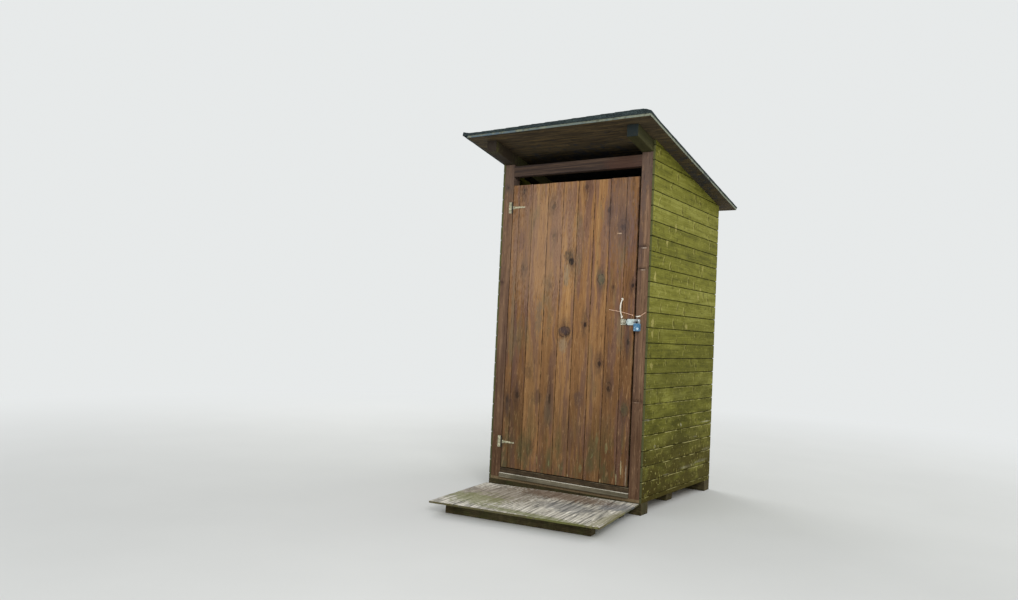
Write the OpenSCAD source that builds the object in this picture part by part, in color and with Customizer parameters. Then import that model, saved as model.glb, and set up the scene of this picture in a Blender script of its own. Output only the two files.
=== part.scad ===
// A small timber outhouse with a lean-to roof, a boarded door and a loose step.
// The front faces -Y, +X is on the right seen from the front, +Z is up.
// The origin is on the ground, in the middle of the cabin's footprint.

/* [Cabin] */
// Width over the side cladding
cabin_w = 1080; // [900:10:1600]
// Depth from the post fronts to the back of the rear cladding
cabin_d = 1130; // [900:10:1800]
// Height of the front posts, from the bearers to their tops
post_len = 2059; // [1900:1:2500]
// Fall of the roof towards the back, in degrees
roof_pitch = 10.8; // [4:0.1:14]

/* [Frame] */
// Side of a square post
post_size = 70; // [60:1:90]
// Thickness of rails, studs and the header
rail_t = 45; // [35:1:55]
// Height of the bottom rails and of the rear top rail
rail_h = 70; // [45:1:90]
// Height of the header over the doorway
header_h = 70; // [50:1:90]
// How far the header's top lies below the post tops
header_drop = 13; // [2:1:24]
// Depth of a rafter, square to the slope
rafter_h = 68; // [60:1:90]
// How far the rafters stand out in front of the posts
rafter_out = 220; // [120:1:260]

/* [Base] */
// Height of the ground bearers
bearer_h = 70; // [50:1:100]
// Width of a ground bearer
bearer_w = 95; // [70:1:120]
// How far the middle bearer's ends lie inside the cladding
mid_bearer_inset = 60; // [20:1:100]
// Thickness of the floor
floor_t = 18; // [15:1:25]
// Height of the lower sill on the floor
lower_sill_h = 28; // [20:1:40]
// Depth of the lower sill from its front to its back
lower_sill_d = 76; // [60:1:90]
// How far the lower sill stands out
lower_sill_out = 12; // [0:1:20]
// Height of the threshold on the lower sill
threshold_h = 30; // [20:1:40]
// Depth of the threshold from its front to its back
threshold_d = 66; // [50:1:80]
// How far the threshold stands out
threshold_out = 2; // [0:1:12]

/* [Cladding] */
// Thickness of the wall boards
clad_t = 14; // [12:1:22]
// Height that one wall board covers
clad_cover = 90; // [70:1:140]
// Height that shows of the lowest wall board
clad_first = 29; // [15:1:90]
// Width of the V groove between two boards
groove_w = 5; // [2:0.5:8]
// Depth of the V groove between two boards
groove_d = 3; // [1:0.5:5]

/* [Roof] */
// Thickness of the roof boarding
deck_t = 18; // [15:1:25]
// Roof overhang in front of the posts
front_over = 297; // [200:1:320]
// Roof overhang behind the rear cladding
rear_over = 90; // [20:1:120]
// Roof overhang beyond the side cladding
side_over = 94; // [20:1:120]
// Thickness of the roof covering
felt_t = 8; // [4:1:24]
// How far the covering runs past the boarding on the left
felt_left = 40; // [0:1:60]
// How far the covering runs past the boarding on the right
felt_right = 4; // [0:1:40]
// How far the covering runs past the boarding in front and behind
felt_lip = 4; // [1:1:20]
// How far the covering's edges turn down over the boarding
felt_drop = 6; // [1:1:12]
// Height of the folded cap along the front edge, above the covering
cap_t = 24; // [4:1:30]
// How far the cap runs back from the front edge
cap_run = 110; // [60:5:200]

/* [Door] */
// Gap between the left post and the door
hinge_gap = 5; // [5:0.5:10]
// Gap between the door and the right post
latch_gap = 11; // [6:0.5:20]
// Gap between the threshold and the door
door_foot_gap = 5; // [5:0.5:15]
// Gap between the door and the header
vent_gap = 59; // [20:1:120]
// Thickness of the door boards
door_t = 18; // [15:1:25]
// Width that one door board covers
door_cover = 110; // [80:1:150]
// Width of the narrow door board beside the hinges
door_first = 48; // [30:1:150]
// Thickness of the ledges and braces
ledge_t = 22; // [18:1:28]
// Height of a ledge
ledge_h = 95; // [70:1:120]
// Distance from a ledge's end to the door's edge
ledge_inset = 30; // [20:1:60]
// Distance from the top ledge's middle to the door's top
top_ledge_drop = 146; // [100:1:250]
// Distance from the bottom ledge's middle to the door's foot
bottom_ledge_rise = 163; // [100:1:250]
// Width of a brace
brace_w = 80; // [60:1:110]

/* [Hinges] */
// Height of a hinge's post plate
plate_h = 73; // [60:1:90]
// Width of a hinge's post plate
plate_w = 22; // [18:1:36]
// Length of a hinge strap from the pin
strap_len = 97; // [80:1:300]
// Height of a strap at the pin
strap_root = 22; // [18:1:30]
// Height of a strap at its tip
strap_tip = 12; // [8:1:16]
// Thickness of the hinge metal
hinge_t = 3; // [2:0.5:4]
// Radius of a hinge knuckle
knuckle_r = 4.5; // [4:0.5:6]
// Radius of a hinge pin
hinge_pin_r = 2.5; // [2:0.25:3]

/* [Hasp] */
// Height of the hasp's middle above the door's foot
hasp_rise = 966; // [700:1:1200]
// Height of the hasp
hasp_h = 36; // [30:1:45]
// Thickness of the hasp metal
hasp_t = 2.5; // [2:0.25:3]
// Distance from the hasp pin to the door's edge
hasp_pin_back = 43; // [30:1:60]
// Width of the hasp's door plate
hasp_plate_w = 41; // [30:1:50]
// Radius of the hasp knuckle
hasp_knuckle_r = 4; // [3.5:0.25:5]
// Radius of the hasp pin
hasp_pin_r = 2; // [1.5:0.25:2.5]
// Distance from the post's inner edge to the staple's middle
staple_in = 8; // [7:0.5:16]
// Half the distance between the staple's legs
staple_half = 4; // [3:0.5:6]
// Radius of the staple wire
staple_r = 1.5; // [1:0.25:2]
// Clearance between the staple and the slot
slot_gap = 5; // [5:0.5:8]
// Length of the flap past the slot
flap_tail = 15; // [12:1:24]
// Radius of the wire of the flap's eye
eye_wire_r = 2; // [1.5:0.25:3]

/* [Padlock] */
// Width of the padlock body
lock_w = 38; // [36:1:60]
// Height of the padlock body
lock_h = 46; // [36:1:60]
// Thickness of the padlock body
lock_t = 20; // [16:1:24]
// Distance between the shackle legs
shackle_span = 25; // [20:1:30]
// Radius of the shackle rod
shackle_r = 3; // [2.5:0.25:3.5]
// Clearance of a shackle leg in the eye
shackle_gap = 0.3; // [0.2:0.1:1]

/* [Rope] */
// Distance from the door's free edge to the rope handle
rope_back = 76; // [70:1:120]
// Height of the handle's lower knot above the door's foot
rope_rise = 995; // [900:1:1200]
// Distance between the handle's knots
rope_span = 107; // [90:1:160]
// How far the handle bows out from the door
rope_bow = 29; // [24:1:40]
// Radius of the rope
rope_r = 4; // [3:0.5:6]
// Radius of a knot
knot_r = 8; // [6:0.5:10]
// Radius of the twine
twine_r = 2; // [1:0.25:2.5]

/* [Step] */
// Width of the step sheet
step_w = 1000; // [700:10:1200]
// Depth of the step sheet
step_d = 695; // [400:5:800]
// Thickness of the step sheet
step_t = 12; // [10:1:25]
// How far the step is turned, in degrees
step_turn = 8.2; // [0:0.1:10]
// Distance from the step's rear corner to the cabin's right side
step_side = 10; // [0:1:60]
// Gap between the step's rear corner and the front bearer
step_gap = 0.3; // [0.2:0.1:2]
// Width of a step bearer
step_bearer_w = 70; // [45:1:95]
// Distance from the step's edges to its bearers
step_bearer_in = 70; // [20:1:120]

/* [Hidden] */
$fn = 48;

// Planes of the cabin
half_w = cabin_w / 2;
front_y = -cabin_d / 2;
rear_y = cabin_d / 2;
frame_x = half_w - clad_t;
frame_y = rear_y - clad_t;
slope = tan(roof_pitch);

// Clearance where a sloping face seats on another
seat = 0.05;

// Heights
floor_top = bearer_h + floor_t;
sill_top = floor_top + lower_sill_h;
threshold_top = sill_top + threshold_h;
post_top = bearer_h + post_len;
header_top = post_top - header_drop;
header_foot = header_top - header_h;
rafter_front = post_top + seat;
deck_front = rafter_front + rafter_h / cos(roof_pitch) + seat;
door_z0 = threshold_top + door_foot_gap;
door_z1 = header_foot - vent_gap;
door_h = door_z1 - door_z0;

// Doorway
way_half = frame_x - post_size;
door_x0 = -way_half + hinge_gap;
door_x1 = way_half - latch_gap;
door_w = door_x1 - door_x0;
door_back = front_y + door_t;

// Hinges
pin_x = -way_half + hinge_gap / 2;
pin_y = front_y - knuckle_r;
top_hinge_z = door_z1 - top_ledge_drop;
bottom_hinge_z = door_z0 + bottom_ledge_rise;
middle_ledge_z = (top_hinge_z + bottom_hinge_z) / 2;
pin_clear = 0.05;
knuckle_clear = 0.3;

// Hasp
hasp_z = door_z0 + hasp_rise;
hasp_pin_x = door_x1 - hasp_pin_back;
hasp_pin_y = front_y - hasp_knuckle_r - 1.75;
flap_front = hasp_pin_y - hasp_knuckle_r;
flap_rear = flap_front + hasp_t;
staple_x = way_half + staple_in;
slot_half = staple_half + staple_r + slot_gap;
slot_rise = staple_r + slot_gap;
flap_end = staple_x + slot_half + flap_tail;
eye_half = slot_half + eye_wire_r + 0.5;
eye_crown = shackle_r + shackle_gap + eye_wire_r;

// Padlock
lock_y = flap_front - 1 - lock_t / 2;
lock_x = staple_x + shackle_span / 2;
lock_top = hasp_z - eye_wire_r - 5;

// Rope
rope_x = door_x1 - rope_back;
rope_z0 = door_z0 + rope_rise;
rope_mid = rope_z0 + rope_span / 2;
rope_radius = rope_span * rope_span / (8 * rope_bow) + rope_bow / 2;
twine_y = front_y - twine_r - 0.3;

// Step
step_corner_x = half_w - step_side;
step_corner_y = front_y - step_gap;

// Heights at a depth: the post tops, the rafter's underside and top, and the deck's underside
function top_at(y) = post_top - (y - front_y) * slope;
function rafter_under(y) = top_at(y) + seat;
function rafter_over(y) = rafter_under(y) + rafter_h / cos(roof_pitch);
function under_at(y) = rafter_over(y) + seat;

// A prism along X from a profile in Y and Z
module slab_x(x0, x1, points) {
  translate([x0, 0, 0]) rotate([90, 0, 90]) linear_extrude(height = x1 - x0) polygon(points);
}

// A prism along Y from a profile in X and Z
module slab_y(y0, y1, points) {
  translate([0, y1, 0]) rotate([90, 0, 0]) linear_extrude(height = y1 - y0) polygon(points);
}

// A box between two corners
module box(a, b) {
  translate(a) cube(b - a);
}

// A post with its top cut to the roof's slope
module post(x0, y0) {
  y1 = y0 + post_size;
  slab_x(x0, x0 + post_size, [[y0, bearer_h], [y1, bearer_h], [y1, top_at(y1)], [y0, top_at(y0)]]);
}

// A ground bearer
module bearer(y0, inset) {
  box([-half_w + inset, y0, 0], [half_w - inset, y0 + bearer_w, bearer_h]);
}

module front_bearer() {
  color([0.34, 0.3, 0.26]) bearer(front_y, 0);
}

module middle_bearer() {
  color([0.34, 0.3, 0.26]) bearer(-bearer_w / 2, mid_bearer_inset);
}

module rear_bearer() {
  color([0.34, 0.3, 0.26]) bearer(rear_y - bearer_w, 0);
}

// The floor sheet, notched round the four posts
module floor_deck() {
  color([0.5, 0.4, 0.3])
    difference() {
      box([-frame_x, front_y, bearer_h], [frame_x, frame_y, floor_top]);
      for (sx = [-1, 1])
        for (y0 = [front_y, frame_y - post_size])
          translate([sx * (frame_x - post_size / 2), y0 + post_size / 2, bearer_h + floor_t / 2])
            cube([post_size, post_size, floor_t * 3], center = true);
    }
}

module lower_sill() {
  color([0.45, 0.42, 0.36])
    box([-way_half, front_y - lower_sill_out, floor_top],
      [way_half, front_y - lower_sill_out + lower_sill_d, sill_top]);
}

module threshold() {
  color([0.42, 0.4, 0.34])
    box([-way_half, front_y - threshold_out, sill_top],
      [way_half, front_y - threshold_out + threshold_d, threshold_top]);
}

module front_left_post() {
  color([0.38, 0.26, 0.2]) post(-frame_x, front_y);
}

module front_right_post() {
  color([0.38, 0.26, 0.2]) post(way_half, front_y);
}

module rear_left_post() {
  color([0.38, 0.26, 0.2]) post(-frame_x, frame_y - post_size);
}

module rear_right_post() {
  color([0.38, 0.26, 0.2]) post(way_half, frame_y - post_size);
}

module header() {
  color([0.3, 0.22, 0.18])
    box([-way_half, front_y, header_foot], [way_half, front_y + rail_t, header_top]);
}

module rear_top_rail() {
  top = top_at(frame_y);
  color([0.42, 0.3, 0.22])
    box([-way_half, frame_y - rail_t, top - rail_h], [way_half, frame_y, top]);
}

// A bottom rail along one side, between the posts
module side_rail(x0) {
  box([x0, front_y + post_size, floor_top], [x0 + rail_t, frame_y - post_size, floor_top + rail_h]);
}

module left_bottom_rail() {
  color([0.42, 0.3, 0.22]) side_rail(-frame_x);
}

module right_bottom_rail() {
  color([0.42, 0.3, 0.22]) side_rail(frame_x - rail_t);
}

module rear_bottom_rail() {
  color([0.42, 0.3, 0.22])
    box([-way_half, frame_y - rail_t, floor_top], [way_half, frame_y, floor_top + rail_h]);
}

// A stud in the middle of a side wall, up to the rafter
module side_stud(x0) {
  y0 = -rail_t / 2;
  y1 = rail_t / 2;
  z0 = floor_top + rail_h;
  slab_x(x0, x0 + rail_t, [[y0, z0], [y1, z0], [y1, top_at(y1)], [y0, top_at(y0)]]);
}

module left_stud() {
  color([0.42, 0.3, 0.22]) side_stud(-frame_x);
}

module right_stud() {
  color([0.42, 0.3, 0.22]) side_stud(frame_x - rail_t);
}

module rear_stud() {
  color([0.42, 0.3, 0.22])
    box([-rail_t / 2, frame_y - rail_t, floor_top + rail_h],
      [rail_t / 2, frame_y, top_at(frame_y) - rail_h]);
}

// Section of a boarded wall: a plain back at 0, a face at clad_t with a V groove at each joint
function groove_points(z) = [
  [clad_t, z - groove_w / 2],
  [clad_t - groove_d, z],
  [clad_t, z + groove_w / 2]
];
function wall_section(top) = concat(
  [[0, top], [0, bearer_h], [clad_t, bearer_h]],
  [for (z = [bearer_h + clad_first : clad_cover : top - groove_w]) each groove_points(z)],
  [[clad_t, top]]
);

// The boards of the right wall, from the bearers to the roof boarding
module side_cladding() {
  high = under_at(front_y) + clad_t;
  intersection() {
    translate([frame_x, 0, 0]) slab_y(front_y, rear_y, wall_section(high));
    slab_x(frame_x - clad_t, half_w + clad_t, [
      [front_y - clad_t, 0],
      [rear_y + clad_t, 0],
      [rear_y + clad_t, under_at(rear_y + clad_t) - seat],
      [front_y - clad_t, under_at(front_y - clad_t) - seat]
    ]);
  }
}

module left_cladding() {
  color([0.4, 0.4, 0.2]) mirror([1, 0, 0]) side_cladding();
}

module right_cladding() {
  color([0.4, 0.4, 0.2]) side_cladding();
}

module rear_cladding() {
  high = under_at(frame_y) + clad_t;
  color([0.4, 0.38, 0.2])
    intersection() {
      translate([0, frame_y, 0]) slab_x(-frame_x, frame_x, wall_section(high));
      slab_x(-half_w, half_w, [
        [front_y, 0],
        [rear_y + clad_t, 0],
        [rear_y + clad_t, under_at(rear_y + clad_t) - seat],
        [front_y, under_at(front_y) - seat]
      ]);
    }
}

// A rafter on the posts of one side
module rafter(x0) {
  y0 = front_y - rafter_out;
  slab_x(x0, x0 + post_size, [
    [y0, rafter_under(y0)],
    [frame_y, rafter_under(frame_y)],
    [frame_y, rafter_over(frame_y)],
    [y0, rafter_over(y0)]
  ]);
}

module left_rafter() {
  color([0.35, 0.36, 0.3]) rafter(-frame_x);
}

module right_rafter() {
  color([0.35, 0.36, 0.3]) rafter(way_half);
}

// Places its children on the roof's slope, from the front of the posts at the boarding's underside
module on_roof() {
  translate([0, front_y, deck_front]) rotate([-roof_pitch, 0, 0]) children();
}

// A sloping sheet that lies a height above the rafters
module roof_sheet(lift, t, front, back, left, right) {
  run = cabin_d / cos(roof_pitch);
  on_roof()
    translate([-half_w - left, -front / cos(roof_pitch), lift])
      cube([cabin_w + left + right, run + (front + back) / cos(roof_pitch), t]);
}

module roof_deck() {
  color([0.6, 0.58, 0.5])
    roof_sheet(0, deck_t, front_over, rear_over, side_over, side_over);
}

// A sheet on the boarding, with a folded cap along its front edge, and with its front, rear and
// right edges turned down over the boarding's
module roof_felt() {
  front = front_over + felt_lip;
  back = rear_over + felt_lip;
  left = side_over + felt_left;
  right = side_over + felt_right;
  edge = -front / cos(roof_pitch);
  top = deck_t + seat + felt_t;
  color([0.16, 0.2, 0.2])
    difference() {
      union() {
        roof_sheet(deck_t - felt_drop, felt_drop + seat + felt_t, front, back, left, right);
        on_roof()
          slab_x(-half_w - left, half_w + right, [
            [edge, deck_t],
            [edge + cap_run, deck_t],
            [edge + cap_run, top],
            [edge + cap_run / 5, top + cap_t],
            [edge, top + cap_t]
          ]);
      }
      roof_sheet(-deck_t, deck_t * 2 + seat, front_over + seat, rear_over + seat, left + 1,
        side_over + seat);
    }
}

// Outline of the door boards seen from above, with a V groove at each joint on the front
function door_groove(x) = [
  [x - groove_w / 2, front_y],
  [x, front_y + groove_d],
  [x + groove_w / 2, front_y]
];

module door_boards() {
  joints = [for (x = [door_x0 + door_first : door_cover : door_x1 - groove_w * 4]) each door_groove(x)];
  color([0.45, 0.32, 0.2])
    translate([0, 0, door_z0])
      linear_extrude(height = door_h)
        polygon(concat([[door_x0, front_y]], joints,
          [[door_x1, front_y], [door_x1, door_back], [door_x0, door_back]]));
}

// A ledge across the back of the door
module ledge(z) {
  box([door_x0 + ledge_inset, door_back, z - ledge_h / 2],
    [door_x1 - ledge_inset, door_back + ledge_t, z + ledge_h / 2]);
}

module door_top_ledge() {
  color([0.42, 0.3, 0.2]) ledge(top_hinge_z);
}

module door_middle_ledge() {
  color([0.42, 0.3, 0.2]) ledge(middle_ledge_z);
}

module door_bottom_ledge() {
  color([0.42, 0.3, 0.2]) ledge(bottom_hinge_z);
}

// A brace that rises from the hinge side between two ledges
module brace(low_z, high_z) {
  z0 = low_z + ledge_h / 2;
  z1 = high_z - ledge_h / 2;
  x0 = door_x0 + ledge_inset;
  x1 = door_x1 - ledge_inset;
  slab_y(door_back, door_back + ledge_t,
    [[x0, z0], [x0 + brace_w, z0], [x1, z1], [x1 - brace_w, z1]]);
}

module door_braces() {
  color([0.42, 0.3, 0.2]) {
    brace(bottom_hinge_z, middle_ledge_z);
    brace(middle_ledge_z, top_hinge_z);
  }
}

// The post plate of a hinge, with its two knuckles and the pin
module hinge_plate(z) {
  inner = strap_root / 2 + knuckle_clear;
  outer = plate_h / 2;
  left = -way_half - knuckle_r - plate_w;
  right = -way_half - knuckle_r;
  box([left, front_y - hinge_t, z - outer], [right, front_y, z + outer]);
  translate([pin_x, pin_y, z - outer]) cylinder(r = hinge_pin_r, h = plate_h);
  for (s = [-1, 1])
    translate([0, 0, z + s * (inner + outer) / 2]) {
      translate([pin_x, pin_y, 0]) cylinder(r = knuckle_r, h = outer - inner, center = true);
      box([right - 1, front_y - hinge_t, -(outer - inner) / 2],
        [pin_x, front_y, (outer - inner) / 2]);
    }
}

// The door strap of a hinge, tapered to a round tip
module hinge_strap(z) {
  tip_x = pin_x + strap_len - strap_tip / 2;
  difference() {
    union() {
      translate([pin_x, pin_y, z - strap_root / 2]) cylinder(r = knuckle_r, h = strap_root);
      slab_y(front_y - hinge_t, front_y, [
        [pin_x, z - strap_root / 2],
        [tip_x, z - strap_tip / 2],
        [tip_x, z + strap_tip / 2],
        [pin_x, z + strap_root / 2]
      ]);
      translate([tip_x, front_y, z]) rotate([90, 0, 0]) cylinder(r = strap_tip / 2, h = hinge_t);
    }
    translate([pin_x, pin_y, z - strap_root])
      cylinder(r = hinge_pin_r + pin_clear, h = strap_root * 2);
  }
}

module top_hinge_plate() {
  color([0.42, 0.45, 0.4]) hinge_plate(top_hinge_z);
}

module top_hinge_strap() {
  color([0.42, 0.45, 0.4]) hinge_strap(top_hinge_z);
}

module bottom_hinge_plate() {
  color([0.42, 0.45, 0.4]) hinge_plate(bottom_hinge_z);
}

module bottom_hinge_strap() {
  color([0.42, 0.45, 0.4]) hinge_strap(bottom_hinge_z);
}

// The hasp's door plate, with its two knuckles and the pin
module hasp_plate() {
  inner = hasp_h / 4 + knuckle_clear;
  outer = hasp_h / 2;
  edge = hasp_pin_x - hasp_knuckle_r - 1.5;
  color([0.66, 0.67, 0.68]) {
    box([hasp_pin_x - hasp_plate_w, front_y - hasp_t, hasp_z - outer],
      [edge, front_y, hasp_z + outer]);
    translate([hasp_pin_x, hasp_pin_y, hasp_z - outer]) cylinder(r = hasp_pin_r, h = hasp_h);
    for (s = [-1, 1])
      translate([0, 0, hasp_z + s * (inner + outer) / 2]) {
        translate([hasp_pin_x, hasp_pin_y, 0])
          cylinder(r = hasp_knuckle_r, h = outer - inner, center = true);
        box([edge - 1, front_y - hasp_t, -(outer - inner) / 2],
          [hasp_pin_x, front_y, (outer - inner) / 2]);
      }
  }
}

// The swinging flap, with its slot and the wire eye on its front
module hasp_flap() {
  tongue = hasp_h / 4;
  root = hasp_pin_x + hasp_knuckle_r + 1.5;
  leg = (flap_front - lock_y) + eye_crown - eye_half;
  color([0.66, 0.67, 0.68]) {
    difference() {
      union() {
        box([root, flap_front, hasp_z - hasp_h / 2], [flap_end, flap_rear, hasp_z + hasp_h / 2]);
        box([hasp_pin_x, flap_front, hasp_z - tongue], [root + 1, flap_rear, hasp_z + tongue]);
        translate([hasp_pin_x, hasp_pin_y, hasp_z - tongue])
          cylinder(r = hasp_knuckle_r, h = tongue * 2);
      }
      translate([hasp_pin_x, hasp_pin_y, hasp_z - hasp_h])
        cylinder(r = hasp_pin_r + pin_clear, h = hasp_h * 2);
      box([staple_x - slot_half, flap_front - 1, hasp_z - slot_rise],
        [staple_x + slot_half, flap_rear + 1, hasp_z + slot_rise]);
    }
    translate([staple_x, flap_front - leg, hasp_z])
      rotate([0, 0, 180])
        rotate_extrude(angle = 180) translate([eye_half, 0]) circle(r = eye_wire_r);
    for (s = [-1, 1])
      translate([staple_x + s * eye_half, flap_front - leg, hasp_z])
        rotate([-90, 0, 0]) cylinder(r = eye_wire_r, h = leg + hasp_t / 2);
  }
}

// The wire staple on the post, whose crown stands in the slot
module hasp_staple() {
  leg = front_y - flap_front - 0.75 - staple_r - staple_half;
  color([0.6, 0.6, 0.6]) {
    translate([staple_x, front_y - leg, hasp_z])
      rotate([0, 0, 180])
        rotate_extrude(angle = 180) translate([staple_half, 0]) circle(r = staple_r);
    for (s = [-1, 1])
      translate([staple_x + s * staple_half, front_y - leg, hasp_z])
        rotate([-90, 0, 0]) cylinder(r = staple_r, h = leg);
  }
}

module padlock_body() {
  color([0.16, 0.3, 0.55])
    translate([lock_x, lock_y + lock_t / 2, lock_top - lock_h])
      rotate([90, 0, 0])
        linear_extrude(height = lock_t)
          union() {
            translate([-lock_w / 2, 5]) square([lock_w, lock_h - 10]);
            translate([-lock_w / 2 + 5, 0]) square([lock_w - 10, lock_h]);
            for (x = [-1, 1])
              for (y = [5, lock_h - 5])
                translate([x * (lock_w / 2 - 5), y]) circle(r = 5);
          }
}

module padlock_shackle() {
  rise = hasp_z + eye_wire_r + 3;
  color([0.75, 0.75, 0.76]) {
    translate([lock_x, lock_y, rise])
      rotate([90, 0, 0])
        rotate_extrude(angle = 180) translate([shackle_span / 2, 0]) circle(r = shackle_r);
    for (s = [-1, 1])
      translate([lock_x + s * shackle_span / 2, lock_y, lock_top])
        cylinder(r = shackle_r, h = rise - lock_top);
  }
}

// A rope bowed out between two knots on the door
module rope_handle() {
  color([0.8, 0.78, 0.7])
    intersection() {
      box([rope_x - 40, front_y - 80, rope_z0 - 40], [rope_x + 40, front_y, rope_z0 + rope_span + 40]);
      union() {
        translate([rope_x, front_y - rope_bow + rope_radius, rope_mid])
          rotate([0, 90, 0])
            rotate_extrude() translate([rope_radius, 0]) circle(r = rope_r);
        for (z = [rope_z0, rope_z0 + rope_span])
          translate([rope_x, front_y - knot_r * 0.6, z]) sphere(r = knot_r);
      }
    }
}

// A length of twine through points on the front, with a knot at its end
module twine(points, knot) {
  for (i = [0 : len(points) - 2])
    hull() {
      translate([points[i][0], twine_y, points[i][1]]) sphere(r = twine_r, $fn = 12);
      translate([points[i + 1][0], twine_y, points[i + 1][1]]) sphere(r = twine_r, $fn = 12);
    }
  translate([knot[0], front_y - twine_r * 2 - 0.3, knot[1]]) sphere(r = twine_r * 2, $fn = 24);
}

module door_twine() {
  dz = door_z0 + 1037;
  color([0.5, 0.32, 0.25])
    twine([[door_x1 - 163, dz], [door_x1 - 100, dz - 9], [door_x1 - 60, dz - 17],
      [door_x1 - 8, dz - 30]], [door_x1 - 8, dz - 30]);
}

module post_twine() {
  pz = door_z0 + 999;
  color([0.5, 0.32, 0.25])
    twine([[way_half + 8, pz], [way_half + 30, pz + 5], [way_half + 62, pz + 25]],
      [way_half + 8, pz]);
}

// Places its children in the frame of the turned step
module on_step() {
  translate([step_corner_x, step_corner_y, 0]) rotate([0, 0, step_turn]) children();
}

module step_deck() {
  color([0.55, 0.53, 0.5])
    on_step() box([-step_w, -step_d, bearer_h - step_t], [0, 0, bearer_h]);
}

// A bearer under the step, a distance from its rear edge
module step_bearer(y0) {
  on_step()
    box([-step_w + step_bearer_in, y0 - step_bearer_w, 0], [-step_bearer_in, y0, bearer_h - step_t]);
}

module step_front_bearer() {
  color([0.4, 0.38, 0.26]) step_bearer(-step_d + step_bearer_in + step_bearer_w);
}

module step_rear_bearer() {
  color([0.4, 0.38, 0.26]) step_bearer(-step_bearer_in);
}

front_bearer();
middle_bearer();
rear_bearer();
floor_deck();
lower_sill();
threshold();
front_left_post();
front_right_post();
rear_left_post();
rear_right_post();
header();
rear_top_rail();
left_bottom_rail();
right_bottom_rail();
rear_bottom_rail();
left_stud();
right_stud();
rear_stud();
left_cladding();
right_cladding();
rear_cladding();
left_rafter();
right_rafter();
roof_deck();
roof_felt();
door_boards();
door_top_ledge();
door_middle_ledge();
door_bottom_ledge();
door_braces();
top_hinge_plate();
top_hinge_strap();
bottom_hinge_plate();
bottom_hinge_strap();
hasp_plate();
hasp_flap();
hasp_staple();
padlock_body();
padlock_shackle();
rope_handle();
door_twine();
post_twine();
step_deck();
step_front_bearer();
step_rear_bearer();
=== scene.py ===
"""Surfaces and fine shapes of a small timber outhouse with a lean-to roof and a loose step."""
from __future__ import annotations

import logging
import math
import random
from dataclasses import dataclass, replace
from enum import Enum
from functools import cache, cached_property
from itertools import product
from typing import Any, Callable, ClassVar, Iterable, Optional, Sequence, Union

import bmesh
import bpy
from bmesh.types import BMesh, BMEdge, BMFace, BMVert
from bpy.types import Material, Mesh, Node, NodeSocket, NodeTree, Object
from mathutils import Matrix, Vector, noise


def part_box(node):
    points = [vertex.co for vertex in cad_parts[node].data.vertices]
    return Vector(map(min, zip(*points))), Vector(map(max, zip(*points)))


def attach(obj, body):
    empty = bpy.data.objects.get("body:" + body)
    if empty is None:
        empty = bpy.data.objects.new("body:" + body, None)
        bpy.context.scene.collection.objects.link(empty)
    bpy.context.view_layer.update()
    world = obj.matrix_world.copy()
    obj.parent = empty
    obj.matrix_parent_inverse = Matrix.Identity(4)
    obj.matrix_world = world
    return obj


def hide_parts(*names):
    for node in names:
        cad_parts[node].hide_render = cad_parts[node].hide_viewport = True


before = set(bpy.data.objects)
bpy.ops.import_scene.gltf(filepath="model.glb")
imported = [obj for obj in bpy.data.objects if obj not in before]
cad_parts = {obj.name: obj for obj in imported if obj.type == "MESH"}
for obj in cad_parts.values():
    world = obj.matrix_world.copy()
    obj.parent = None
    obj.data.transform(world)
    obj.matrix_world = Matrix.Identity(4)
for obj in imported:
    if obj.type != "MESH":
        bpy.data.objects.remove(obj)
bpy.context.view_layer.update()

log = logging.getLogger("outhouse")

Pair = tuple[float, float]
Point = tuple[float, float, float]
Colour = tuple[float, float, float]
Place = Union[Point, Vector]
Spots = Sequence[tuple[Point, Point]]
Placer = Callable[[float, float, float], Vector]
Shaper = Callable[[float, float, float], Point]
Feed = Union[float, str, bool, tuple, "Flow", bpy.types.ID]
Key = Union[int, str]
Feeds = dict[Key, Feed]

# The posts' front, the roof's pitch and slope, the heights where the post tops and the roof sheet meet that
# front, and the seat of sloped cuts. Lengths are in metres.
FRONT = -0.565
PITCH = math.radians(10.8)
SLOPE = math.tan(PITCH)
POST_TOP = 2.129
DECK_FRONT = 2.19833
SEAT = 0.00005
SURROUND = (0.80, 0.82, 0.82, 1.0)


# Nodes


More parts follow.
